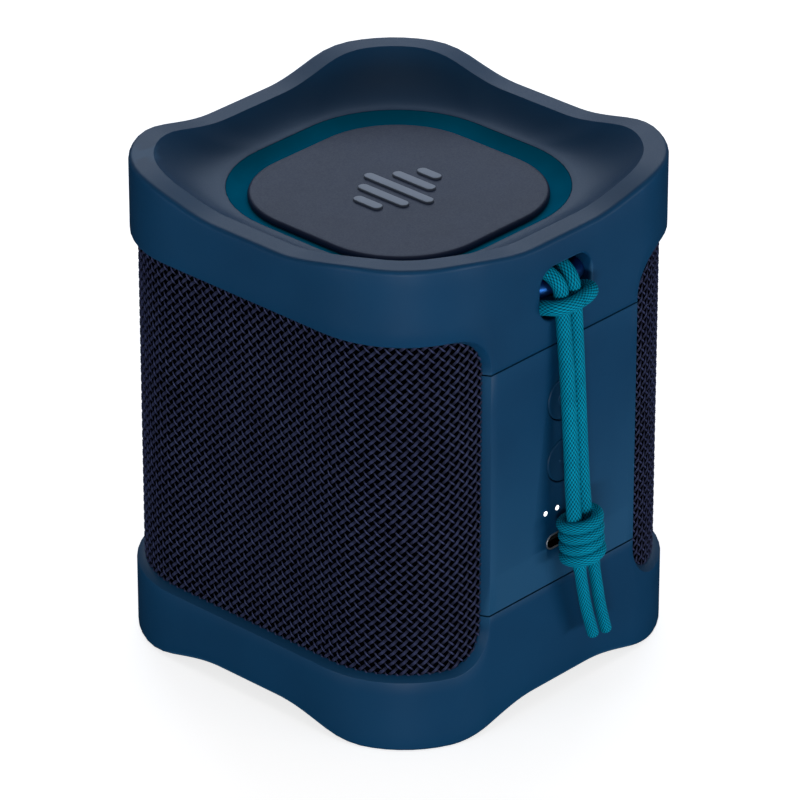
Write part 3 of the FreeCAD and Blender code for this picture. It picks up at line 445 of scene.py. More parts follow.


# Soft-touch paint over moulded ABS: matt and even, a fine orange-peel grain, edges slightly paler by painted
# highlight.
HOUSING = Finish("soft_touch_paint_on_abs", "#053759", "#033354", 0.42, 0.52, grain=0.22, depth=0.003, cloud=22,
                 specular=0.17, edge="#1c4a6c")
# The same paint on the button caps, a little smoother from touch, edges paler by the same painted highlight.
BUTTON = Finish("soft_touch_paint_worn_smooth", "#0d3757", "#0b3351", 0.36, 0.46, grain=0.2, depth=0.003,
                specular=0.17, edge="#1f4d6e")
# Glass-filled nylon from a textured mould, on the radiator plate: grey-blue, semi-matt, edges paler by painted
# highlight.
PLATE = Finish("textured_glass_filled_nylon", "#232f4a", "#202b44", 0.42, 0.55, grain=0.3, depth=0.005,
               specular=0.14, edge="#39445a")
# Sprayed satin paint on the plate's raised bars: a paler grey that reads against the plate.
BADGE = Finish("satin_grey_paint", "#6c7688", "#657080", 0.34, 0.44, grain=0.15, depth=0.002, specular=0.25)
# Moulded silicone rubber of the radiator's channel: dead matt and teal, so that the ring has no glint.
SURROUND = Finish("moulded_silicone_rubber", "#006b8c", "#006281", 0.5, 0.62, grain=0.5, depth=0.004, specular=0.0)
# Solution-dyed polyester yarn, plain woven: navy with a violet cast and soft crowns. Painted shade makes the
# crossings near black and keeps the first family's crowns darker.
YARN = Finish("woven_polyester_yarn", "#394062", "#33395a", 0.4, 0.5, grain=0.2, depth=0.012, cloud=6,
              specular=0.08, crossing_shade="#030308", pattern=Pattern.STRANDS, pitch=0.12)
# Painted shade: a black dead-matt sheet behind the yarns stands for the shade there, so no light comes back between
# them.
SHADE_SHEET = Finish("black_painted_shade_sheet", "#020204", "#010102", 0.85, 0.95, grain=0.1, depth=0.01, cloud=5, specular=0.0)
# Braided polyester cord: teal, with painted shade that darkens the gaps of the braid.
CORD = Finish("braided_polyester_cord", "#008fb0", "#0087a8", 0.6, 0.75, grain=0.12, depth=0.01, cloud=5,
              specular=0.03, crossing_shade="#00202c", pattern=Pattern.STRANDS, pitch=0.1)
# Aluminium bar, bead-blasted and then anodised in blue dye: a broad soft glint.
ANODISED = Finish("blue_anodised_aluminium", "#2a62ac", "#24589f", 0.34, 0.44, grain=0.3, depth=0.0004, metallic=1.0)
# Deep-drawn stainless steel of the port's shell, bright at the rim.
PORT_STEEL = Finish("drawn_stainless_steel", "#f4f6f8", "#eef0f2", 0.42, 0.5, grain=0.3, depth=0.0004, metallic=1.0)
# Zinc-plated pressed steel of screws, baskets and shields: grey, with a sharper glint.
STEEL = Finish("zinc_plated_steel", "#8e9296", "#7f8387", 0.28, 0.42, grain=0.3, depth=0.002, metallic=1.0)
# Injection-moulded black ABS of the parts inside, spark-eroded mould: an even dull grain.
BLACK = Finish("moulded_black_abs", "#101113", "#0b0c0d", 0.5, 0.65, grain=0.35, depth=0.008, specular=0.35)
# Short black fibres flocked onto ABS: takes every glint out of the frame behind the cloth, and as painted shade it
# lines the port's steel shell so that its inside goes dark.
FLOCK = Finish("black_flocked_abs", "#050506", "#040404", 0.9, 1.0, grain=0.12, depth=0.01, cloud=6, specular=0.0)
# Moulded nitrile rubber of seals, gaskets and drivers' edges: charcoal, with a dull skin.
SEAL = Finish("black_nitrile_rubber", "#0c0c0d", "#111214", 0.7, 0.85, grain=0.4, depth=0.01, specular=0.25)
# Laminated glass cloth and epoxy under green solder mask: a wet look over small clouds of copper.
BOARD = Finish("glass_epoxy_board", "#0d3b1f", "#0a3119", 0.35, 0.5, grain=0.6, depth=0.006, cloud=3, specular=0.4)
# Transfer-moulded epoxy of chips: near black, with a fine dry grain.
CHIP = Finish("moulded_epoxy_chip", "#16171a", "#101114", 0.45, 0.6, grain=0.15, depth=0.004, specular=0.35)
# PVC sleeve shrunk onto the battery: green, glossy and slightly rippled.
SLEEVE = Finish("shrink_wrapped_pvc", "#1d5c3a", "#1a5334", 0.25, 0.35, grain=2.0, depth=0.01, specular=0.5)
# Pressed and sintered ferrite of the magnets: a coarse stony grey.
MAGNET = Finish("sintered_ferrite", "#1c1c1e", "#242427", 0.55, 0.75, grain=0.5, depth=0.012, specular=0.4)
# Enamelled copper wire wound on a former: rings that glint round the coil.
COPPER = Finish("enamelled_copper_winding", "#b0592b", "#9c4c22", 0.22, 0.32, grain=0.2, depth=0.01, metallic=1.0,
                pattern=Pattern.WOUND, pitch=0.2)
# Felted and pressed paper pulp of cones and dust caps: charcoal, mottled and fibrous.
PAPER = Finish("pressed_paper_pulp", "#1a1b1e", "#222327", 0.8, 0.92, grain=0.4, depth=0.02, cloud=4, specular=0.2)
# Cotton cloth stiffened with phenolic resin, of the spiders: amber and dry.
CLOTH = Finish("resin_treated_cotton", "#a8823f", "#8e6c31", 0.75, 0.9, grain=0.25, depth=0.02, cloud=3, specular=0.2)
# Moulded polycarbonate light pipes with the lights on: small even white dots.
LENS = Finish("lit_polycarbonate_light_pipe", "#ffffff", "#f4f8ff", 0.2, 0.3, grain=0.5, depth=0.001, specular=0.5,
              glow=1.6)

NODE_FINISHES = {
    BLACK: "cabinet cabinet_lid radiator_frame usb_tongue power_plunger pairing_plunger board_header battery_cradle",
    SEAL: "lid_gasket radiator_gasket usb_seal battery_clip driver_gaskets",
    STEEL: "top_screws radiator_weight switch_bases radio_shield driver_screws",
    BOARD: "control_board main_board",
    CHIP: "led_chips board_chips",
    FLOCK: "grille_frame",
    SLEEVE: "battery_cell",
}
DRIVER_FINISHES = {STEEL: "basket cup pole", MAGNET: "magnet", PAPER: "cone cap", COPPER: "coil", SEAL: "surround",
                   CLOTH: "spider"}


def dress_nodes() -> None:
    """Give every node of the model its material; a node that a piece replaces keeps it while hidden."""
    finishes = {name: finish for finish, names in NODE_FINISHES.items() for name in names.split()}
    for finish, parts in DRIVER_FINISHES.items():
        finishes.update({f"{side}_{part}": finish for side in SIDES for part in parts.split()})
    for name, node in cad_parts.items():
        finish = finishes.get(name, HOUSING)
        node.data.materials.clear()
        node.data.materials.append(finish.material())
    LOG.info("dressed %d nodes", len(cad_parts))


# ---- body
@dataclass(frozen=True)
class BodyShape:
    """Outer form that the two housings, the panel and the grille share."""

    half: float = 42.0
    corner: float = 21.7
    height: float = 100.5
    rim_dip: float = 3.15
    foot_rise: float = 3.45
    wave_flat: float = 7.5
    wave_end: float = 29.0
    edge: float = 0.9
    wall: float = 3.6
    middle: float = 50.0
    window: float = 35.2
    strip: float = 20.2
    flare: float = 8.5
    seam_low: float = 25.0
    seam_high: float = 75.9
    lip_in: float = 1.4
    lip_out: float = 0.8
    lip_start: float = -0.15
    seam_round: float = 0.1

    @property
    def flat(self) -> float:
        """Half length of a straight side."""
        return self.half - self.corner

    def outline(self, inset: float = 0.0) -> Outline:
        """The footprint, or one that lies inside it."""
        return Outline(self.half, self.half, self.corner).grown(-inset)

    def wave(self, flat: Array) -> Array:
        """Share of the dip at a place: one over a side's middle, none past the wave's end, half a cosine between."""
        run = np.clip((np.abs(flat) - self.wave_flat) / (self.wave_end - self.wave_flat), 0, 1)
        return np.max((1 + np.cos(math.pi * run)) / 2, -1)

    def rim(self, flat: Array) -> Array:
        """Height of the wavy rim."""
        return self.height - self.rim_dip * self.wave(flat)

    def foot(self, flat: Array) -> Array:
        """Height of the wavy foot."""
        return self.foot_rise * self.wave(flat)

    def front_u(self, x: Array, inset: float) -> Array:
        """Place on the footprint of a point of the front with that x.

        The middle of the front is at 6.5. Straight part: u grows evenly with x. Corner: the turn is the arc sine of
        the reach past the flat.
        """
        past = np.clip((np.abs(x) - self.flat) / (self.corner - inset), 0, 1)
        bent = np.sign(x) * (0.5 + np.arcsin(past) / QUARTER)
        return 6.5 + np.where(np.abs(x) <= self.flat, x / (2 * self.flat), bent)

    def lip(self, offset: float, inset: float, up: int) -> tuple[Array, Array]:
        """Columns of a wall along the window's edge.

        On the strip a column ends at the seam. On a flared corner it ends on a circle of the flare's radius less the
        offset, and everywhere else at the window's straight edge.

        Args:
            offset: how far the line lies into the window.
            inset: depth of the line behind the outer wall.
            up: 1 for the edge over the window, -1 for the one under it.

        Returns:
            The places u and the heights of the columns.
        """
        theta = corner_arc(15)
        reach = self.strip + self.flare
        curve_x = reach - (self.flare - offset) * np.cos(theta)
        curve_z = self.window - self.flare + (self.flare - offset) * np.sin(theta)
        seam = abs((self.seam_high if up > 0 else self.seam_low) - self.middle)
        strip_x = np.append(np.linspace(0, self.strip - 1.2, 12), self.strip + offset)
        rest = np.linspace(self.front_u(np.array(reach), inset), 8, 11)[1:]
        u_half = np.concatenate((self.front_u(strip_x, inset), self.front_u(curve_x, inset), rest))
        level = self.window - offset
        z_half = np.concatenate((np.full(len(strip_x), seam), curve_z, np.full(len(rest), level)))
        # The right half of the front, the other three sides, and the front's left half: it mirrors u to 13 less u.
        straight = np.linspace(0, 1, 25)[1:]
        side = np.concatenate((straight, 1 + corner_arc(13)[1:] / QUARTER))
        others = np.concatenate((side, 2 + side, 4 + straight[:-1]))
        u = np.concatenate((u_half, 8 + others, 8 + 13 - u_half[:0:-1]))
        z = np.concatenate((z_half, np.full(len(others), level), z_half[:0:-1]))
        return u, self.middle + up * z

    def columns(self, up: int) -> Array:
        """Places on the footprint of the columns that all rings of a housing share."""
        return self.lip(self.lip_start, 0.0, up)[0]

    def wall_rows(self, up: int, count: int = 6) -> Array:
        """Rings of a housing's outer wall, from its fillet to the window's edge, round the lip and to the inner wall.

        The wall's rings share out the height between the fillet and the edge. The last straight ring of the strip
        stands where the flare starts, so that the strip's end gets a ring of its own.
        """
        u, z_edge = self.lip(self.lip_start, 0.0, up)
        outer, _ = self.outline().walk(u)
        end = self.rim(outer) - self.edge if up > 0 else self.foot(outer) + self.edge
        flare_start = self.middle + up * (self.window - self.flare)
        on_strip = up * (flare_start - z_edge) > 0
        last = np.where(on_strip, flare_start, z_edge)
        rows = [raised(outer, end + (last - end) * share) for share in np.linspace(0, 1, count)[1:]]
        rows.append(raised(outer, z_edge + np.where(on_strip, up * self.seam_round, 0.0)))
        for offset, inset in ((0.0, 0.06), (self.lip_out, self.lip_in), (self.lip_out, self.wall)):
            u_lip, z_lip = self.lip(offset, inset, up)
            rows.append(self.outline(inset).at(u_lip, z_lip))
        return np.array(rows)

    def fillet_rows(self, up: int) -> Array:
        """Rings of the outer edge's rounding, from the level land to the wall: a quarter circle of the edge radius."""
        u = self.columns(up)
        level = self.rim if up > 0 else self.foot
        rows = []
        for a in corner_arc(6):
            flat, _ = self.outline(self.edge * (1 - math.sin(a))).walk(u)
            rows.append(raised(flat, level(flat) - up * self.edge * (1 - math.cos(a))))
        return np.array(rows)


SHAPE = BodyShape()


@dataclass(frozen=True)
class TopHousing:
    """Top housing: wavy rim, dished top round the radiator, lanyard slot and the strip's upper end."""

    ring: float = 29.35
    ring_flat: float = 7.3
    dish: float = 37.4
    dish_corner: float = 17.4
    floor: float = 93.3
    under: float = 91.7
    slot_half: float = 7.0
    slot_low: float = 81.0
    slot_high: float = 91.9
    slot_radius: float = 3.75
    pocket_back: float = -33.6
    pocket_wall: float = 1.6
    dish_power: float = 1.7
    ring_round: float = 0.3
    mouth_round: float = 0.5

    def shell(self) -> Object:
        """The housing without its slot.

        The dish rises from the ring to the land as the share of the way to the dish's power, and ends in a crease.
        """
        u = SHAPE.columns(1)
        ring = Outline(self.ring, self.ring, self.ring - self.ring_flat)
        start = ring.grown(self.ring_round).walk(u)[0]
        end = Outline(self.dish, self.dish, self.dish_corner).walk(u)[0]
        rows = [ring.at(u, self.under), ring.at(u, self.floor - 0.35), ring.grown(0.08).at(u, self.floor - 0.08)]
        rise = SHAPE.rim(end) - self.floor
        for f in np.linspace(0, 1, 14):
            rows.append(raised(start + (end - start) * f, self.floor + rise * f ** self.dish_power))
        land = SHAPE.outline(SHAPE.edge).walk(u)[0]
        for f in (0.04, 0.5, 0.94):
            flat = end + (land - end) * f
            rows.append(raised(flat, SHAPE.rim(flat)))
        rows += [*SHAPE.fillet_rows(1), *SHAPE.wall_rows(1)]
        u_inner, _ = SHAPE.lip(SHAPE.lip_out, SHAPE.wall, 1)
        rows.append(SHAPE.outline(SHAPE.wall).at(u_inner, self.under))
        return loft("top_housing_skin", np.array(rows), loop=True)

    def slot_tool(self, grow: float, mouth: bool) -> Object:
        """Rounded prism of the slot: plain for the pocket's block, with a rolled mouth for the cavity."""
        section = Outline(self.slot_half, (self.slot_high - self.slot_low) / 2, self.slot_radius)
        back, front, roll = self.pocket_back, -SHAPE.half, self.mouth_round
        if mouth:
            stations = [(back, -0.8), (back - 0.25, -0.25), (back - 0.9, 0.0), (front + 1, 0.0)]
            stations += [(front + roll * (1 - math.sin(a)), roll * (1 - math.cos(a))) for a in corner_arc(6)[1:]]
            stations.append((front - 1, roll))
        else:
            stations = [(back + self.pocket_wall, grow), (front + SHAPE.wall / 2, grow)]
        rows = sunk(section, around(64), (self.slot_high + self.slot_low) / 2, stations)
        return loft("slot_tool", rows, caps=True)

    def build(self) -> None:
        """The housing with its lanyard pocket."""
        housing = carve(self.shell(), self.slot_tool(self.pocket_wall, False), Cut.ONTO)
        housing = carve(housing, self.slot_tool(0.0, True))
        place(housing, HOUSING, "housing_soft_touch", BODY, "top_housing")


@dataclass(frozen=True)
class BottomHousing:
    """Bottom housing: wavy foot, floor with screw recesses and the strip's lower end."""

    under: float = 5.0
    over: float = 8.0
    screw_x: float = 30.2
    screw_y: float = 27.6
    head_r: float = 2.4
    head_t: float = 1.6
    head_round: float = 0.35
    cross: float = 1.5
    cross_half: float = 0.3
    cross_depth: float = 0.9

    def shell(self) -> Object:
        """The housing: rings run from the floor's underside, round the foot and the wall, and back over the floor."""
        u, pole = SHAPE.columns(-1), np.zeros((len(SHAPE.columns(-1)), 2))
        rows = [raised(pole, self.under)]
        for inset, round_in in ((20.0, 0.0), (SHAPE.wall + 0.8, 0.0), (SHAPE.wall + 0.25, 0.25), (SHAPE.wall, 0.8)):
            rows.append(SHAPE.outline(inset).at(u, self.under - round_in))
        for inset, lift in ((SHAPE.wall, 0.4), (SHAPE.wall - 0.12, 0.12), (SHAPE.wall - 0.4, 0.0), (2.2, 0.0)):
            flat = SHAPE.outline(inset).walk(u)[0]
            rows.append(raised(flat, SHAPE.foot(flat) + lift))
        rows += [*SHAPE.fillet_rows(-1), *SHAPE.wall_rows(-1)]
        u_in, _ = SHAPE.lip(SHAPE.lip_out, SHAPE.wall, -1)
        rows += [SHAPE.outline(SHAPE.wall).at(u_in, self.over), raised(pole, self.over)]
        return loft("bottom_housing_skin", np.array(rows))

    def places(self) -> list[tuple[float, float]]:
        """Where the four screws stand."""
        return [(x * self.screw_x, y * self.screw_y) for x in (-1, 1) for y in (-1, 1)]

    def screw_heads(self) -> Object:
        """Pan heads with a cross recess: a cone of the cross's depth where the cross is, and nothing elsewhere."""
        bend, level = corner_arc(5)[1:], self.head_r - self.head_round
        radius = np.concatenate((np.linspace(0, level, 13), level + self.head_round * np.sin(bend)))
        sag = np.concatenate((np.zeros(13), self.head_round * (1 - np.cos(bend))))
        t = full_turn(64)
        x, y = radius[:, None] * np.cos(t), radius[:, None] * np.sin(t)
        near, far = np.minimum(np.abs(x), np.abs(y)), np.maximum(np.abs(x), np.abs(y))
        cone = self.cross_depth * (1 - np.hypot(x, y) / (self.cross + 0.3))
        depth = np.where((near < self.cross_half) & (far < self.cross), cone, 0.0)
        low, high = self.under + sag[:, None] + depth + 0.05, np.full((1, 64), self.under + self.head_t)
        parts = []
        for centre in self.places():
            head = np.stack((x + centre[0], y + centre[1], low), -1)
            top = np.stack((x[-1:] + centre[0], y[-1:] + centre[1], high), -1)
            pole = np.broadcast_to((*centre, self.under + self.head_t), (1, 64, 3))
            parts.append(loft("head", np.concatenate((head, top, pole))))
        return joined("base_screw_heads", parts)

    def build(self) -> None:
        """The housing and its screws."""
        bore, mouth = self.head_r + 0.15, self.head_r + 0.4
        profile = ((0, 1.75), (bore, 1.75), (bore, 0.1), (mouth, -0.2), (0, -0.2))
        recess = [turned("recess", profile, (x, y, self.under), (0, 0, 1), 40) for x, y in self.places()]
        housing = carve(self.shell(), joined("recesses", recess))
        place(housing, HOUSING, "housing_soft_touch", BODY, "bottom_housing")
        place(self.screw_heads(), STEEL, "steel", BODY, "base_screws")


# ---- control panel
@dataclass(frozen=True)
class ControlPanel:
    """Panel between the seams, its two buttons, charge lights and charging port."""

    thickness: float = 2.4
    gap: float = 0.3
    button_r: float = 4.4
    button_gap: float = 0.22
    button_edge: float = 0.3
    power_z: float = 63.5
    pairing_z: float = 50.5
    light_z: float = 40.8
    light_pitch: float = 3.26
    light_r: float = 0.45
    port_z: float = 34.0
    port: Outline = Outline(4.47, 1.6, 1.599)
    port_wall: float = 0.3
    port_back: float = -34.0
    shade_sleeve_gap: float = 0.03
    shade_sleeve_wall: float = 0.07
    shade_sleeve_from: float = 0.2
    shade_sleeve_to: float = 2.4
    mark_r: float = 0.19
    mark_proud: float = 0.12

    def bored(self, name: str, profile: Pairs, x: float, z: float, sides: int = 72) -> Object:
        """A turned part or tool whose axis points out of the panel at (x, z)."""
        return turned(name, profile, (x, -SHAPE.half, z), (0, -1, 0), sides)

    def lights(self, name: str, profile: Pairs) -> list[Object]:
        """The same turned form at each of the four lights."""
        return [self.bored(name, profile, (i - 1.5) * self.light_pitch, self.light_z, 24) for i in range(4)]

    def plate(self) -> Object:
        """The panel: one section carried up Z, with its front edges rounded at both seams."""
        front, s, side = -SHAPE.half, SHAPE.strip, SHAPE.strip + SHAPE.lip_out
        edge = [(s - 0.15, front), (s, front + 0.06), (side, front + SHAPE.lip_in), (side, front + self.thickness)]
        section = np.array([(-x, y) for x, y in edge][::-1] + [(x, front) for x in np.linspace(-18, 18, 9)] + edge)
        at_front = section[:, 1] < front + 0.01
        low, high = SHAPE.seam_low + self.gap, SHAPE.seam_high - self.gap
        rows = []
        for z, back in ((low, 0.1), (low + 0.1, 0.0), (low + 8, 0.0), (high - 8, 0.0), (high - 0.1, 0.0), (high, 0.1)):
            rows.append(raised(section + np.stack((np.zeros(len(section)), at_front * back), -1), z))
        return loft("control_panel_skin", np.array(rows), caps=True)

    def tools(self) -> Object:
        """All the holes as one tool, each with a small rounded mouth."""
        front, r, light = -SHAPE.half, self.button_r + self.button_gap, self.light_r
        profile = ((0, 1), (r + 0.18, 1), (r + 0.18, 0), (r + 0.05, -0.06), (r, -0.2), (r, -4), (0, -4))
        parts = [self.bored("hole", profile, 0, z) for z in (self.power_z, self.pairing_z)]
        profile = ((0, 1), (light + 0.08, 1), (light + 0.08, 0), (light, -0.1), (light, -4), (0, -4))
        parts += self.lights("hole", profile)
        stations = ((front - 1, 0.25), (front, 0.25), (front + 0.08, 0.07), (front + 0.25, 0.02), (front + 4, 0.02))
        parts.append(loft("hole", sunk(self.port, around(48), self.port_z, stations), caps=True))
        return joined("holes", parts)

    def cap(self, name: str, z: float) -> Object:
        """A button's cap: a shallow dished face inside a rounded edge, over a plain stem and a flange."""
        r, fillet = self.button_r, self.button_edge
        edge = [(r - fillet + fillet * math.sin(a), -fillet + fillet * math.cos(a)) for a in corner_arc(5)]
        face = [(0, -0.12), (1.4, -0.115), (2.6, -0.08), (3.6, -0.02)]
        back = [(r, -2.4), (5.2, -2.45), (5.2, -3.2), (0, -3.2)]
        return self.bored(name, face + edge + back, 0, z)

    def mark(self, name: str, z: float, x: Array, up: Array) -> Object:
        """A raised line on a cap: a bead that stands proud of it."""
        return tube(name, np.stack((x, np.full(len(x), -SHAPE.half + self.mark_proud), up + z), -1), self.mark_r, 10)

    def power_mark(self) -> Object:
        """An open ring with an upright bar, the plain sign for power."""
        t = np.linspace(math.radians(125), math.radians(415), 40)
        ring = self.mark("ring", self.power_z, 1.45 * np.cos(t), 1.45 * np.sin(t))
        return joined("power_mark", [ring, self.mark("bar", self.power_z, np.zeros(8), np.linspace(0.3, 1.9, 8))])

    def pairing_mark(self) -> Object:
        """A dot and two arcs round it, a plain sign for radio."""
        t = np.linspace(math.radians(-38), math.radians(38), 16)
        lines = [(np.full(6, -0.95), np.linspace(-0.08, 0.08, 6))]
        lines += [(radius * np.cos(t) - 0.9, radius * np.sin(t)) for radius in (0.95, 1.8)]
        return joined("pairing_mark", [self.mark("arc", self.pairing_z, x, up) for x, up in lines])

    def port_sleeve(self, name: str, stations: Pairs) -> Object:
        """A closed skin of the port's section, at depths behind the front and steps out from the port's outline."""
        rows = sunk(self.port, around(64), self.port_z, [(depth - SHAPE.half, by) for depth, by in stations])
        return loft(name, rows, loop=True)

    def build(self) -> None:
        """The panel with everything in it."""
        place(carve(self.plate(), self.tools()), HOUSING, "housing_soft_touch", BODY, "control_panel")
        for key, z in (("power", self.power_z), ("pairing", self.pairing_z)):
            cap = self.cap(f"{key}_button_cap", z)
            place(cap, BUTTON, "button_soft_touch", f"{key}_button_body", f"{key}_button")
        place(self.power_mark(), BUTTON, "button_soft_touch", "power_button_body")
        place(self.pairing_mark(), BUTTON, "button_soft_touch", "pairing_button_body")
        end = ((0, 0.05), (0.3, 0.03), (0.5, -0.02), (self.light_r, -0.1), (self.light_r, -5.0), (0, -5.0))
        place(joined("charge_lights", self.lights("pin", end)), LENS, "led_lens", BODY, "light_pipes")
        wall, back = self.port_wall, self.port_back + SHAPE.half
        rim = ((0.15, 0.0), (0.03, -0.05), (0.0, -wall / 2), (0.03, 0.05 - wall), (0.2, -wall))
        shell = ((back, 0.0), *rim, (back, -wall))
        place(self.port_sleeve("charging_port_shell", shell), PORT_STEEL, "port_steel", BODY, "usb_shell")
        # Painted shade: a black flocked sleeve just inside the steel shell darkens the port's inside.
        outer, start, stop = -wall - self.shade_sleeve_gap, self.shade_sleeve_from, self.shade_sleeve_to
        inner = outer - self.shade_sleeve_wall
        shade_sleeve = ((stop, outer), (start, outer), (start, inner), (stop, inner))
        place(self.port_sleeve("charging_port_shade_sleeve", shade_sleeve), FLOCK, "black_plastic", BODY)


# ---- tubes
def carried_circles(path: Array, sides: int) -> tuple[Array, Array]:
    """Directions along a path and round it, turned as little as the path allows.

    Args:
        path: stations of the path.
        sides: directions round each station.

    Returns:
        A unit tangent for each station, and a ring of unit directions square to it.
    """
    tangent = np.gradient(path, axis=0)
    tangent /= np.linalg.norm(tangent, axis=1)[:, None]
    side = np.zeros_like(tangent)
    first = np.cross(tangent[0], (0.0, 0.0, 1.0))
    if np.linalg.norm(first) < 0.3:
        first = np.cross(tangent[0], (0.0, 1.0, 0.0))
    side[0] = first / np.linalg.norm(first)
    for i in range(1, len(path)):
        carried = side[i - 1] - (side[i - 1] @ tangent[i]) * tangent[i]
        side[i] = carried / np.linalg.norm(carried)
    t = full_turn(sides)[:, None]
    return tangent, np.cos(t) * side[:, None] + np.sin(t) * np.cross(tangent, side)[:, None]


def tube(name: str, path: Array, radius: float, sides: int) -> Object:
    """Round tube along a path with half-round ends: past an end, rings go on by the sine and shrink by the cosine."""
    tangent, circle = carried_circles(path, sides)
    a = corner_arc(5)[1:, None, None]
    start, end = (path[i] + way * radius * np.sin(a) * tangent[i] + radius * np.cos(a) * circle[i]
                  for i, way in ((0, -1), (-1, 1)))
    return loft(name, np.concatenate((start[::-1], path[:, None] + radius * circle, end)), angle=50)


def run_along(path: Array) -> Array:
    """Length of a path up to each of its points."""
    return np.concatenate(((0.0,), np.cumsum(np.linalg.norm(np.diff(path, axis=0), axis=1))))


def crowned(obj: Object, value: Array) -> Object:
    """Give each point its place in a pattern of strands, 1 on a crown and -1 where strands cross."""
    obj.data.attributes.new("crown", "FLOAT", "POINT").data.foreach_set("value", value.astype(np.float32))
    return obj


# ---- grille
@dataclass(frozen=True)
class Grille:
    """Woven cover of the window: two families of yarns at 45 degrees, each over and under the other in turn."""

    centre_inset: float = 1.72
    step: float = 2.0
    rise: float = 0.15
    first_half: float = 0.31
    second_half: float = 0.17
    thick_half: float = 0.15
    tuck: float = 0.6
    phase_y: float = 0.67
    phase_z: float = 0.4
    sections: int = 3
    sample: float = 0.5
    overrun: float = 1.4
    first_family_shade: float = 0.45
    shade_sheet_face: float = 0.22
    shade_sheet_back: float = 0.27

    def outline(self) -> Outline:
        """Footprint of the middle of the cloth."""
        return SHAPE.outline(self.centre_inset)

    def unrolled(self, s: Array) -> tuple[Array, Array]:
        """Points and normals at a length along the cloth.

        The length starts at the strip's left side on the front and runs round by -X, +Y and +X. Each straight side and
        each corner has its own length, so the place u grows evenly on each of them.
        """
        line = self.outline()
        straight, bend = 2 * (line.half_x - line.radius), line.radius * QUARTER
        marks = np.concatenate(((0.0,), np.cumsum([bend, straight] * 4)))
        return line.walk(6 - np.interp(s, marks, np.arange(9.0)))

    def length(self) -> float:
        """Length of the cloth from one side of the strip to the other: three sides and four corners."""
        line = self.outline()
        return 3 * 2 * (line.half_x - line.radius) + 4 * line.radius * QUARTER

    def room(self, flat: Array, z: Array) -> Array:
        """How far a point lies inside the window: the least of its distances to the edges, or to a flare's circle."""
        up = SHAPE.window - np.abs(z - SHAPE.middle)
        across = np.where(flat[..., 1] < 0, np.abs(flat[..., 0]) - SHAPE.strip, 99.0)
        corner = SHAPE.flare - np.hypot(SHAPE.flare - across, SHAPE.flare - up)
        return np.where((across < SHAPE.flare) & (up < SHAPE.flare), corner, np.minimum(across, up))

    def yarns(self, name: str, family: int, low_s: float, high_s: float) -> Object:
        """All yarns of one family whose middle lies between two lengths.

        A yarn's centre runs at 45 degrees and rises by a cosine of its length, one turn to two crossings. The other
        family has the opposite sign, so one is up where the other is down. Its section is a flat lozenge.

        Args:
            name: name of the object.
            family: 1 for the yarns that fall along the cloth, -1 for those that rise.
            low_s: start of the range.
            high_s: end of the range.

        Returns:
            The object, with an attribute that is 1 on crowns and -1 in the hollows.
        """
        line = self.outline()
        start = line.radius * QUARTER + (line.half_x - line.radius) + self.phase_y
        half = SHAPE.window + self.overrun
        base = start + family * self.phase_z
        first = np.ceil((low_s + family * SHAPE.middle - base) / self.step)
        last = np.floor((high_s + family * SHAPE.middle - base) / self.step)
        line_of = base + self.step * np.arange(first, last + 1)
        begin = line_of - (SHAPE.middle + half) if family > 0 else line_of + SHAPE.middle - half
        begin = start + self.sample * np.floor((begin - start) / self.sample)
        s = begin[:, None] + self.sample * np.arange(int(2 * half / self.sample) + 2)[None]
        z = family * (line_of[:, None] - s)
        flat, out = self.unrolled(s)
        inside = (self.room(flat, z) > -self.tuck) & (s > -self.tuck) & (s < self.length() + self.tuck)
        crown = family * np.cos(math.pi * (s - start))
        width = np.where(inside, self.first_half if family > 0 else self.second_half, 0.0)[..., None]
        thick = np.where(inside, self.thick_half, 0.0)[..., None]
        along = np.stack((out[..., 1], -out[..., 0], np.full(s.shape, -float(family))), -1) / math.sqrt(2)
        out = raised(out, 0.0)
        across = np.cross(out, along)
        centre = raised(flat, z) + (self.rise * crown)[..., None] * out
        lozenge = ((1, 0.0), (0.62, 0.8), (-0.62, 0.8), (-1, 0.0), (0.0, -0.9))
        points = np.stack([centre + width * a * across + thick * b * out for a, b in lozenge], 2)
        sides = len(lozenge)
        number = np.arange(points[..., 0].size).reshape(points.shape[:3])
        used = inside[:, :-1] | inside[:, 1:]
        near, far = number[:, :-1][used], number[:, 1:][used]
        faces = np.stack((near, np.roll(near, -1, 1), np.roll(far, -1, 1), far), -1).reshape(-1, 4)
        run = np.stack((s[:, :-1][used], s[:, 1:][used]), -1)
        turn = (np.arange(sides)[:, None] + (0, 1, 1, 0)) / sides
        uv = np.stack((turn[None].repeat(len(run), 0), run[:, None, (0, 0, 1, 1)].repeat(sides, 1)), -1)
        kept, faces = np.unique(faces, return_inverse=True)
        made = new_object(name, points.reshape(-1, 3)[kept], [faces.reshape(-1, 4)], uv.reshape(-1, 2))
        # Painted shade: the first family's crowns are scaled down, so they stay darker than the second family's.
        value = crown * (self.first_family_shade if family > 0 else 1.0)
        return settle(crowned(made, np.broadcast_to(value[..., None], points.shape[:3]).reshape(-1)[kept]), 75)

    def shade_sheet(self) -> Object:
        """Thin black sheet just behind the yarns, from one side of the strip to the other: painted shade behind the
        open weave.
        """
        s = np.linspace(-self.tuck, self.length() + self.tuck, 180)
        flat, normal = self.unrolled(s)
        low, high = SHAPE.middle - SHAPE.window - self.tuck, SHAPE.middle + SHAPE.window + self.tuck
        behind, face = flat - self.shade_sheet_back * normal, flat - self.shade_sheet_face * normal
        rows = np.stack((raised(face, low), raised(face, high), raised(behind, high), raised(behind, low)), 1)
        return loft("grille_shade_sheet", rows, caps=True)

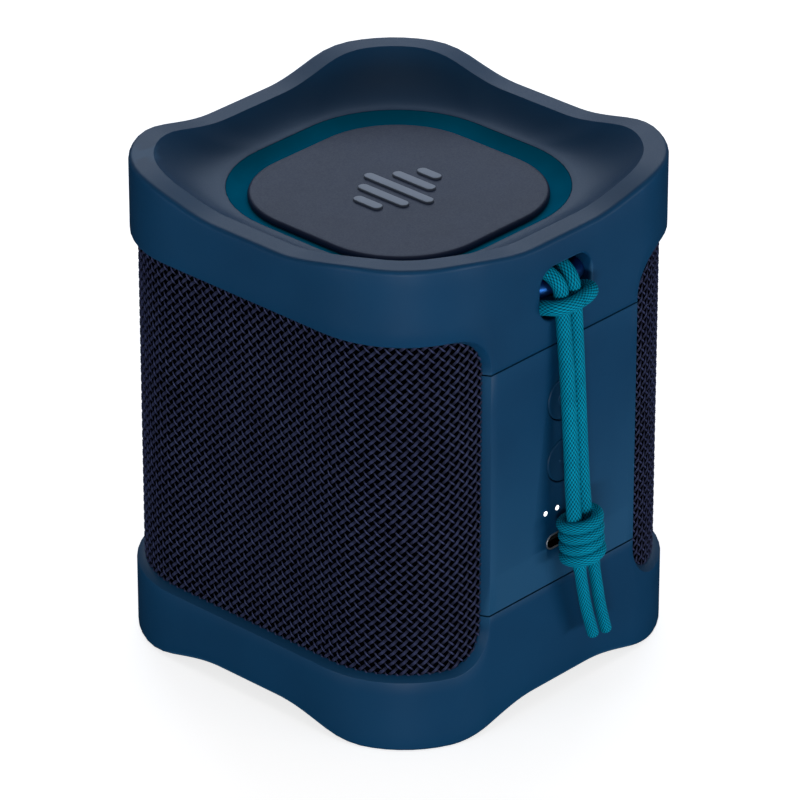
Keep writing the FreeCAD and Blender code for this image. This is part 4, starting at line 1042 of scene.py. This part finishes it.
    def build(self) -> None:
        """The cloth in sections, with its black sheet of painted shade behind it."""
        cuts = np.linspace(-SHAPE.window * 2, self.length() + SHAPE.window * 2, self.sections + 1)
        cuts[1:-1] = np.linspace(0, self.length(), self.sections + 1)[1:-1]
        for i in range(self.sections):
            pair = [self.yarns("yarns", family, cuts[i], cuts[i + 1]) for family in (1, -1)]
            place(joined(f"grille_weave_{i + 1}", pair), YARN, "grille_fabric", BODY, "grille_fabric")
        shade_sheet = place(self.shade_sheet(), SHADE_SHEET, "grille_fabric", BODY, "grille_fabric")


# ---- radiator
@dataclass(frozen=True)
class Radiator:
    """Floating plate of the bass radiator and the rubber channel round it."""

    plate: float = 25.3
    plate_flat: float = 7.3
    top: float = 92.3
    thick: float = 1.3
    edge: float = 0.7
    ring: float = 29.35
    ring_top: float = 93.3
    trough: float = 90.9
    rubber: float = 0.7
    rubber_top: float = 0.12
    rubber_drop: float = 1.0
    rubber_gap: float = 0.04
    under_plate: float = 1.6
    curve: float = 2.6
    level_rings: tuple[float, ...] = (24.0, 22.0, 18.0, 13.0)
    bar_lengths: tuple[float, ...] = (3.4, 6.2, 8.6, 5.2, 2.8)
    bar_pitch: float = 4.2
    bar_half: float = 1.15

    def outline(self, half: float) -> Outline:
        """One of the radiator's parallel outlines."""
        return Outline(half, half, half - self.plate_flat)

    def plate_skin(self) -> Object:
        """The plate: rings step in from its underside, round the edge and over the level top to the middle."""
        u, low, edge = around(128), self.top - self.thick, self.edge
        rings = [(self.plate - 4, low), (self.plate - 0.3, low), (self.plate, low + 0.3)]
        rings += [(self.plate - edge * (1 - math.cos(a)), self.top - edge * (1 - math.sin(a))) for a in corner_arc(7)]
        rings += [(half, self.top) for half in self.level_rings]
        pole = np.zeros((len(u), 2))
        rows = [raised(pole, low), *(self.outline(half).at(u, z) for half, z in rings), raised(pole, self.top)]
        return loft("radiator_plate_skin", np.array(rows))

    def channel(self) -> Object:
        """The rubber channel: it rises to the ring as the share of the way out from the plate to the curve's power."""
        share = np.linspace(0, 1, 15)
        inner, outer = self.plate - self.under_plate, self.ring - self.rubber_gap
        rise = share ** self.curve
        halves = inner + (outer - inner) * share, inner + (outer - self.rubber - inner) * share
        heights = (self.trough + (self.ring_top - self.rubber_top - self.trough) * rise,
                   self.trough - self.rubber + (self.ring_top - self.rubber_drop - self.trough) * rise)
        rings = [*zip(halves[0], heights[0]), (outer, self.ring_top - self.rubber_drop),
                 *zip(halves[1][-2::-1], heights[1][-2::-1])]
        rows = [self.outline(half).at(around(128), z) for half, z in rings]
        return loft("radiator_surround_skin", np.array(rows), loop=True, angle=50)

    def badge(self) -> Object:
        """Five raised rounded bars of different lengths, a plain sign for sound."""
        parts = []
        for number, length in enumerate(self.bar_lengths):
            bar, shift = Outline(self.bar_half, length, self.bar_half - 0.001), ((number - 2) * self.bar_pitch, 0, 0)
            rings = ((-0.3, 0), (0.2, 0), (0.31, -0.04), (0.4, -0.15), (0.42, -0.5))
            rows = [bar.grown(by).at(around(32), self.top + z) + shift for z, by in rings]
            parts.append(loft("bar", np.array(rows), caps=True))
        return joined("radiator_badge", parts)

    def build(self) -> None:
        """Plate, badge and channel; the channel lies between the housing and the plate, on no body."""
        place(self.plate_skin(), PLATE, "plate_plastic", "radiator_body", "radiator_plate")
        place(self.badge(), BADGE, "plate_plastic", "radiator_body")
        channel = self.channel()
        channel.data.materials.append(SURROUND.material())
        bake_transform(channel)
        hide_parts("radiator_surround")


# ---- drivers
@dataclass(frozen=True)
class DriverEdge:
    """Rubber edge of a driver: a land glued to the basket, a lip glued to the cone, and a roll that flexes between."""

    side: str
    sign: int
    axis_z: float
    wall: float
    lip: float = 15.6
    roll_in: float = 17.0
    roll_out: float = 19.7
    rim: float = 21.3
    lip_front: float = -1.4
    lip_back: float = -1.0
    land_front: float = -2.0
    land_back: float = -1.6
    rubber: float = 0.3
    rise: float = 1.45

    def build(self) -> None:
        """The edge: a roll that rises as a sine between lip and land, turned about the driver's axis.

        It follows the basket up to its land's back face and the cone from its lip's front face.
        """
        s = np.linspace(0, 1, 11)
        roll = self.rise * np.sin(math.pi * s)
        outer = self.roll_out + self.rubber
        front = np.stack((self.roll_in + (self.roll_out - self.roll_in) * s,
                          self.lip_front + (self.land_front - self.lip_front) * s + roll), -1)
        back = np.stack((outer - (outer - self.roll_in) * s,
                         self.land_back + (self.lip_back - self.land_back) * s + roll), -1)
        profile = np.concatenate((((self.lip, self.lip_front),), front, ((self.rim, self.land_front),),
                                  ((self.rim, self.land_back),), back, ((self.lip, self.lip_back),)))
        t = full_turn(96)
        x = np.broadcast_to(self.sign * (self.wall - profile[:, 1])[:, None], (len(profile), 96))
        rows = np.stack((x, profile[:, :1] * np.cos(t), self.axis_z + self.sign * profile[:, :1] * np.sin(t)), -1)
        made = loft(f"{self.side}_surround_skin", rows, loop=True, angle=50)
        made.data.materials.append(SEAL.material())
        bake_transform(made)
        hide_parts(f"{self.side}_surround")


# ---- lanyard
# Control points of each half of the cord: from the front of its loop, over the bar and down to its cut end.
ROUTE_LEFT = (
    (-0.9, -46.1, 85.4), (-3.4, -46.0, 85.3), (-5.7, -44.9, 85.1), (-6.1, -42.3, 84.6), (-5.5, -39.8, 83.4),
    (-4.8, -37.0, 83.6), (-4.6, -35.9, 86.9), (-4.4, -37.2, 90.2), (-4.0, -40.6, 90.8), (-3.3, -43.4, 88.8),
    (-2.7, -43.4, 85.2), (-2.4, -43.5, 81.0), (-2.3, -44.6, 70.0), (-2.5, -45.8, 57.0), (-2.7, -46.8, 44.5),
    (-2.0, -46.9, 37.0), (-0.9, -46.9, 30.9), (0.1, -46.9, 25.4), (1.8, -46.7, 18.8), (4.1, -46.4, 12.9),
)
ROUTE_RIGHT = (
    (-0.9, -46.1, 85.4), (1.6, -46.0, 85.6), (3.9, -44.9, 85.7), (4.7, -42.3, 85.0), (4.2, -39.8, 83.6),
    (2.8, -37.0, 83.5), (1.7, -35.9, 86.9), (0.9, -37.2, 90.2), (0.3, -40.6, 90.8), (0.1, -43.4, 88.8),
    (0.6, -43.4, 85.2), (0.9, -43.5, 81.0), (1.0, -44.2, 70.0), (0.9, -45.1, 57.0), (0.7, -46.2, 44.5),
    (1.4, -46.8, 37.0), (2.4, -47.3, 30.9), (3.6, -47.3, 25.4), (5.2, -47.0, 18.6), (7.6, -46.5, 12.5),
)


@dataclass(frozen=True)
class Lanyard:
    """Braided cord hitched to the metal bar by its bight, with a wound knot and two cut tails."""

    radius: float = 1.4
    carriers: int = 28
    pick: float = 0.5
    relief: float = 0.08
    sides: int = 84
    station: float = 0.16
    bar_r: float = 1.9
    bar_y: float = -39.8
    bar_z: float = 86.9
    bar_half: float = 8.0
    bar_bow: float = 0.045
    bar_forward: float = 0.4
    ridge_gain: float = 1.6
    end_share: float = 0.08
    end_run: float = 0.3
    slack_run: float = 3.0
    knot_x: float = -0.8
    knot_y: float = -46.85
    knot_top: float = 41.0
    knot_pitch: float = 2.42
    knot_tilt: float = 0.38
    knot_r: float = 4.4
    knot_cord: float = 1.14
    knot_lean: float = 0.27
    knot_from: float = 43.0
    knot_tilt_from: float = 47.0
    knot_draw: float = 0.45
    draw_turns: float = 0.22
    knot_wobble: float = 0.1
    wobble_turns: float = 0.37
    turns: float = 4.05
    tail_share: float = 0.8
    tail: float = 19.0
    cord_length: float = 0.105

    def spline_points(self, route: Pairs) -> Array:
        """Points of the smooth line that has the route's points as its control points.

        Args:
            route: the given points.

        Returns:
            Even stations along the line, in millimetres.
        """
        curve = bpy.data.curves.new("route", "CURVE")
        curve.dimensions = "3D"
        curve.resolution_u = 24
        spline = curve.splines.new("NURBS")
        spline.points.add(len(route) - 1)
        spline.points.foreach_set("co", np.concatenate((np.array(route) * MM, np.ones((len(route), 1))), 1).ravel())
        spline.order_u = 3
        spline.use_endpoint_u = True
        holder = linked("route", curve)
        mesh = bpy.data.meshes.new_from_object(holder)
        line = np.zeros(len(mesh.vertices) * 3)
        mesh.vertices.foreach_get("co", line)
        bpy.data.objects.remove(holder)
        line = line.reshape(-1, 3) / MM
        reach = run_along(line)
        even = np.linspace(0, reach[-1], int(reach[-1] / self.station))
        return np.stack([np.interp(even, reach, line[:, i]) for i in range(3)], -1)

    def braided(self, name: str, path: Array, thick: float, slack_from: float = 1e9) -> Object:
        """Tube with the relief of a braid.

        Two sets of strands wind opposite ways. A strand's ridge is the cosine of its own angle, and which set lies on
        top alternates with the product of both angles, so the radius grows by whichever ridge is up.

        Args:
            name: name of the object.
            path: stations of the centreline.
            thick: radius of the cord over its ridges.
            slack_from: length past which the cord, no longer under load, narrows to its tails' share.

        Returns:
            The finished tube.
        """
        _, circle = carried_circles(path, self.sides)
        reach = run_along(path)
        turn = self.carriers / 2 * full_turn(self.sides)[None]
        run = 2 * math.pi * reach[:, None] / (2 * self.pick)
        one, two = turn + run, turn - run
        up = 0.5 + 0.5 * np.sin(one) * np.sin(two)
        ridge = up * np.abs(np.cos(one / 2)) + (1 - up) * np.abs(np.cos(two / 2))
        left = (reach[-1] - reach) / (self.end_run * self.radius)
        blunt = np.sqrt(np.clip(1 - (1 - np.clip(left, 0, 1)) ** 2, 0, 1))
        slack = np.clip((reach - slack_from) / self.slack_run, 0, 1)
        taper = (1 - self.end_share + self.end_share * blunt) * (1 - (1 - self.tail_share) * slack)
        radius = (thick - self.relief + self.relief * self.ridge_gain * ridge) * taper[:, None]
        made = loft(name, path[:, None] + radius[..., None] * circle, caps=True, along=reach, angle=75)
        return crowned(made, (2 * ridge - 1).ravel())

    def knot(self) -> Object:
        """The wound knot: one strand in close turns round the pair, its ends turned in at the top and the bottom.

        The helix falls by the pitch a turn and goes round clockwise, and the cosine of the angle tilts each turn up to
        one side. Its radius is even except at its ends, where a sine draws it inwards.
        """
        t = np.linspace(0, self.turns, int(self.turns * 130))
        full = np.sin(np.clip(np.minimum(t, self.turns - t) / self.draw_turns, 0, 1) * QUARTER)
        radius = (self.knot_r - self.knot_cord) * (1 - self.knot_draw + self.knot_draw * full)
        radius += self.knot_wobble * np.sin(2 * math.pi * t * self.wobble_turns)
        angle = math.radians(self.knot_from) - 2 * math.pi * t
        x = self.knot_x + self.knot_lean * t + radius * np.cos(angle)
        z = self.knot_top - self.knot_pitch * t + self.knot_tilt * np.cos(angle + math.radians(self.knot_tilt_from))
        path = np.stack((x, self.knot_y + radius * np.sin(angle), z), -1)
        return self.braided("lanyard_knot", path, self.knot_cord)

    def bar(self) -> Object:
        """The bar: a round rod that bows forward, its depth growing as the square of the way from the middle."""
        x = np.linspace(-self.bar_half, self.bar_half, 41)
        path = np.stack((x, self.bar_y - self.bar_forward + self.bar_bow * x ** 2, np.full(len(x), self.bar_z)), -1)
        return tube("lanyard_bar_rod", path, self.bar_r, 64)

    def build(self) -> None:
        """Bar, two cords and their knot."""
        place(self.bar(), ANODISED, "blue_bar", BODY, "lanyard_bar")
        knot = place(self.knot(), CORD, "cord_teal", BODY, "cord_knot")
        for side, route in (("left", ROUTE_LEFT), ("right", ROUTE_RIGHT)):
            path = self.spline_points(route)
            reach = float(run_along(path)[-1])
            LOG.info("cord %s is %.1f mm long", side, reach)
            piece = self.braided(f"lanyard_cord_{side}", path, self.radius, reach - self.tail)
            place(piece, CORD, "cord_teal", BODY, "cord_hitch", f"cord_strand_{side}", f"cord_tail_{side}")


# ---- studio
def toward(azimuth: float, elevation: float) -> Vector:
    """Unit direction at an azimuth from -Y towards +X and an elevation, both in degrees."""
    a, e = math.radians(azimuth), math.radians(elevation)
    return Vector((math.sin(a) * math.cos(e), -math.cos(a) * math.cos(e), math.sin(e)))


def stand(name: str, data: bpy.types.ID, at: Vector, aim: Vector) -> Object:
    """Put a lamp or a camera somewhere, with its -Z along the aim."""
    made = linked(name, data)
    made.location = at
    made.rotation_mode = "QUATERNION"
    made.rotation_quaternion = aim.to_track_quat("-Z", "Y")
    return made


@dataclass(frozen=True)
class Lamp:
    """A rectangular soft lamp: direction in degrees, distance and size in metres, power in watts, and tint."""

    azimuth: float
    elevation: float
    distance: float
    size: tuple[float, float]
    power: float
    tint: str = "#ffffff"

    def build(self, name: str) -> None:
        """Stand the lamp so that it points at the middle of the object. The camera doesn't see it."""
        data = bpy.data.lights.new(name, "AREA")
        data.shape, data.energy, data.color = "RECTANGLE", self.power, linear(self.tint)[:3]
        data.size, data.size_y = self.size
        at = LIT_POINT + self.distance * toward(self.azimuth, self.elevation)
        stand(name, data, at, LIT_POINT - at).visible_camera = False


LIT_POINT = Vector((0, 0, 0.05))
LAMPS = {
    "back": Lamp(133.0, 32.0, 1.3, (1.0, 0.7), 6.4, "#d8e8ff"),
    "low_front": Lamp(-46.0, 1.0, 1.3, (0.4, 0.14), 7.6),
    "low_right": Lamp(14.0, 2.0, 1.3, (0.9, 0.14), 7.4),
    "low_left": Lamp(-100.0, 2.0, 1.3, (0.6, 0.14), 3.8),
    "top": Lamp(0.0, 90.0, 1.2, (0.8, 0.8), 1.5),
}


@dataclass(frozen=True)
class Studio:
    """Pale floor, soft lamps and the camera, in metres and degrees."""

    azimuth: float = -46.955
    elevation: float = 28.18
    distance: float = 1.20863
    lens: float = 285.93
    target_z: float = 0.047595
    target_side: float = 0.000227
    floor_half: float = 3000
    floor_lift: float = 0.74
    world_level: float = 0.18

    def floor(self) -> None:
        """A wide pale floor. The camera sees it brighter than the lamps make it, and reflections see it dark."""
        h = self.floor_half
        corners = np.array(((-h, -h, 0), (h, -h, 0), (h, h, 0), (-h, h, 0)), float)
        made = new_object("studio_floor", corners, [np.array(((0, 1, 2, 3),))])
        look = bpy.data.materials.new("studio_floor_white")
        tree = empty_tree(look)
        path = add(tree, "LightPath")
        lift = add(tree, "Math", {0: path.outputs["Is Camera Ray"], 1: self.floor_lift}, operation="MULTIPLY")
        tone = mixed(tree, path.outputs["Is Glossy Ray"], linear("#ededed"), linear("#202020"))
        diffuse = add(tree, "BsdfDiffuse", {"Color": tone})
        glow = add(tree, "Emission", {"Color": (1, 1, 1, 1), "Strength": lift.outputs[0]})
        both = add(tree, "AddShader", {0: diffuse.outputs[0], 1: glow.outputs[0]})
        add(tree, "OutputMaterial", {"Surface": both.outputs[0]})
        made.data.materials.append(look)

    def world(self) -> None:
        """Dim even light, and white where the camera sees past the floor, straight or through something clear."""
        world = bpy.data.worlds.new("studio_world")
        bpy.context.scene.world = world
        tree = empty_tree(world)
        path = add(tree, "LightPath").outputs
        rays = {0: path["Is Camera Ray"], 1: path["Is Transmission Ray"]}
        seen = add(tree, "Math", rays, operation="MAXIMUM")
        level = ranged(tree, seen.outputs[0], 0.0, 1.0, self.world_level, 1.0)
        sky = add(tree, "Background", {"Color": (1, 1, 1, 1), "Strength": level})
        add(tree, "OutputWorld", {"Surface": sky.outputs[0]})

    def camera(self) -> None:
        """The camera looks at its target, which lies a little to the level right (cos, sin) of the origin."""
        a, back = math.radians(self.azimuth), toward(self.azimuth, self.elevation)
        target = Vector((0, 0, self.target_z)) + self.target_side * Vector((math.cos(a), math.sin(a), 0))
        data = bpy.data.cameras.new("camera")
        data.lens, data.sensor_width = self.lens, 36.0
        data.clip_start, data.clip_end = 0.05, 20.0
        bpy.context.scene.camera = stand("camera", data, target + self.distance * back, -back)

    def build(self) -> None:
        """Camera, floor, world and lamps."""
        bpy.context.scene.view_settings.view_transform = "Standard"
        self.camera()
        self.floor()
        self.world()
        for name, lamp in LAMPS.items():
            lamp.build(name)


def main() -> None:
    """Build the pieces in order and report each."""
    logging.basicConfig(level=logging.INFO, format="%(message)s")
    Studio().build()
    Lanyard().build()
    dress_nodes()
    TopHousing().build()
    BottomHousing().build()
    ControlPanel().build()
    Radiator().build()
    for side, sign in SIDES.items():
        DriverEdge(side, sign, axis_z=50.0, wall=35.5).build()
    Grille().build()


if __name__ == "__main__":
    main()
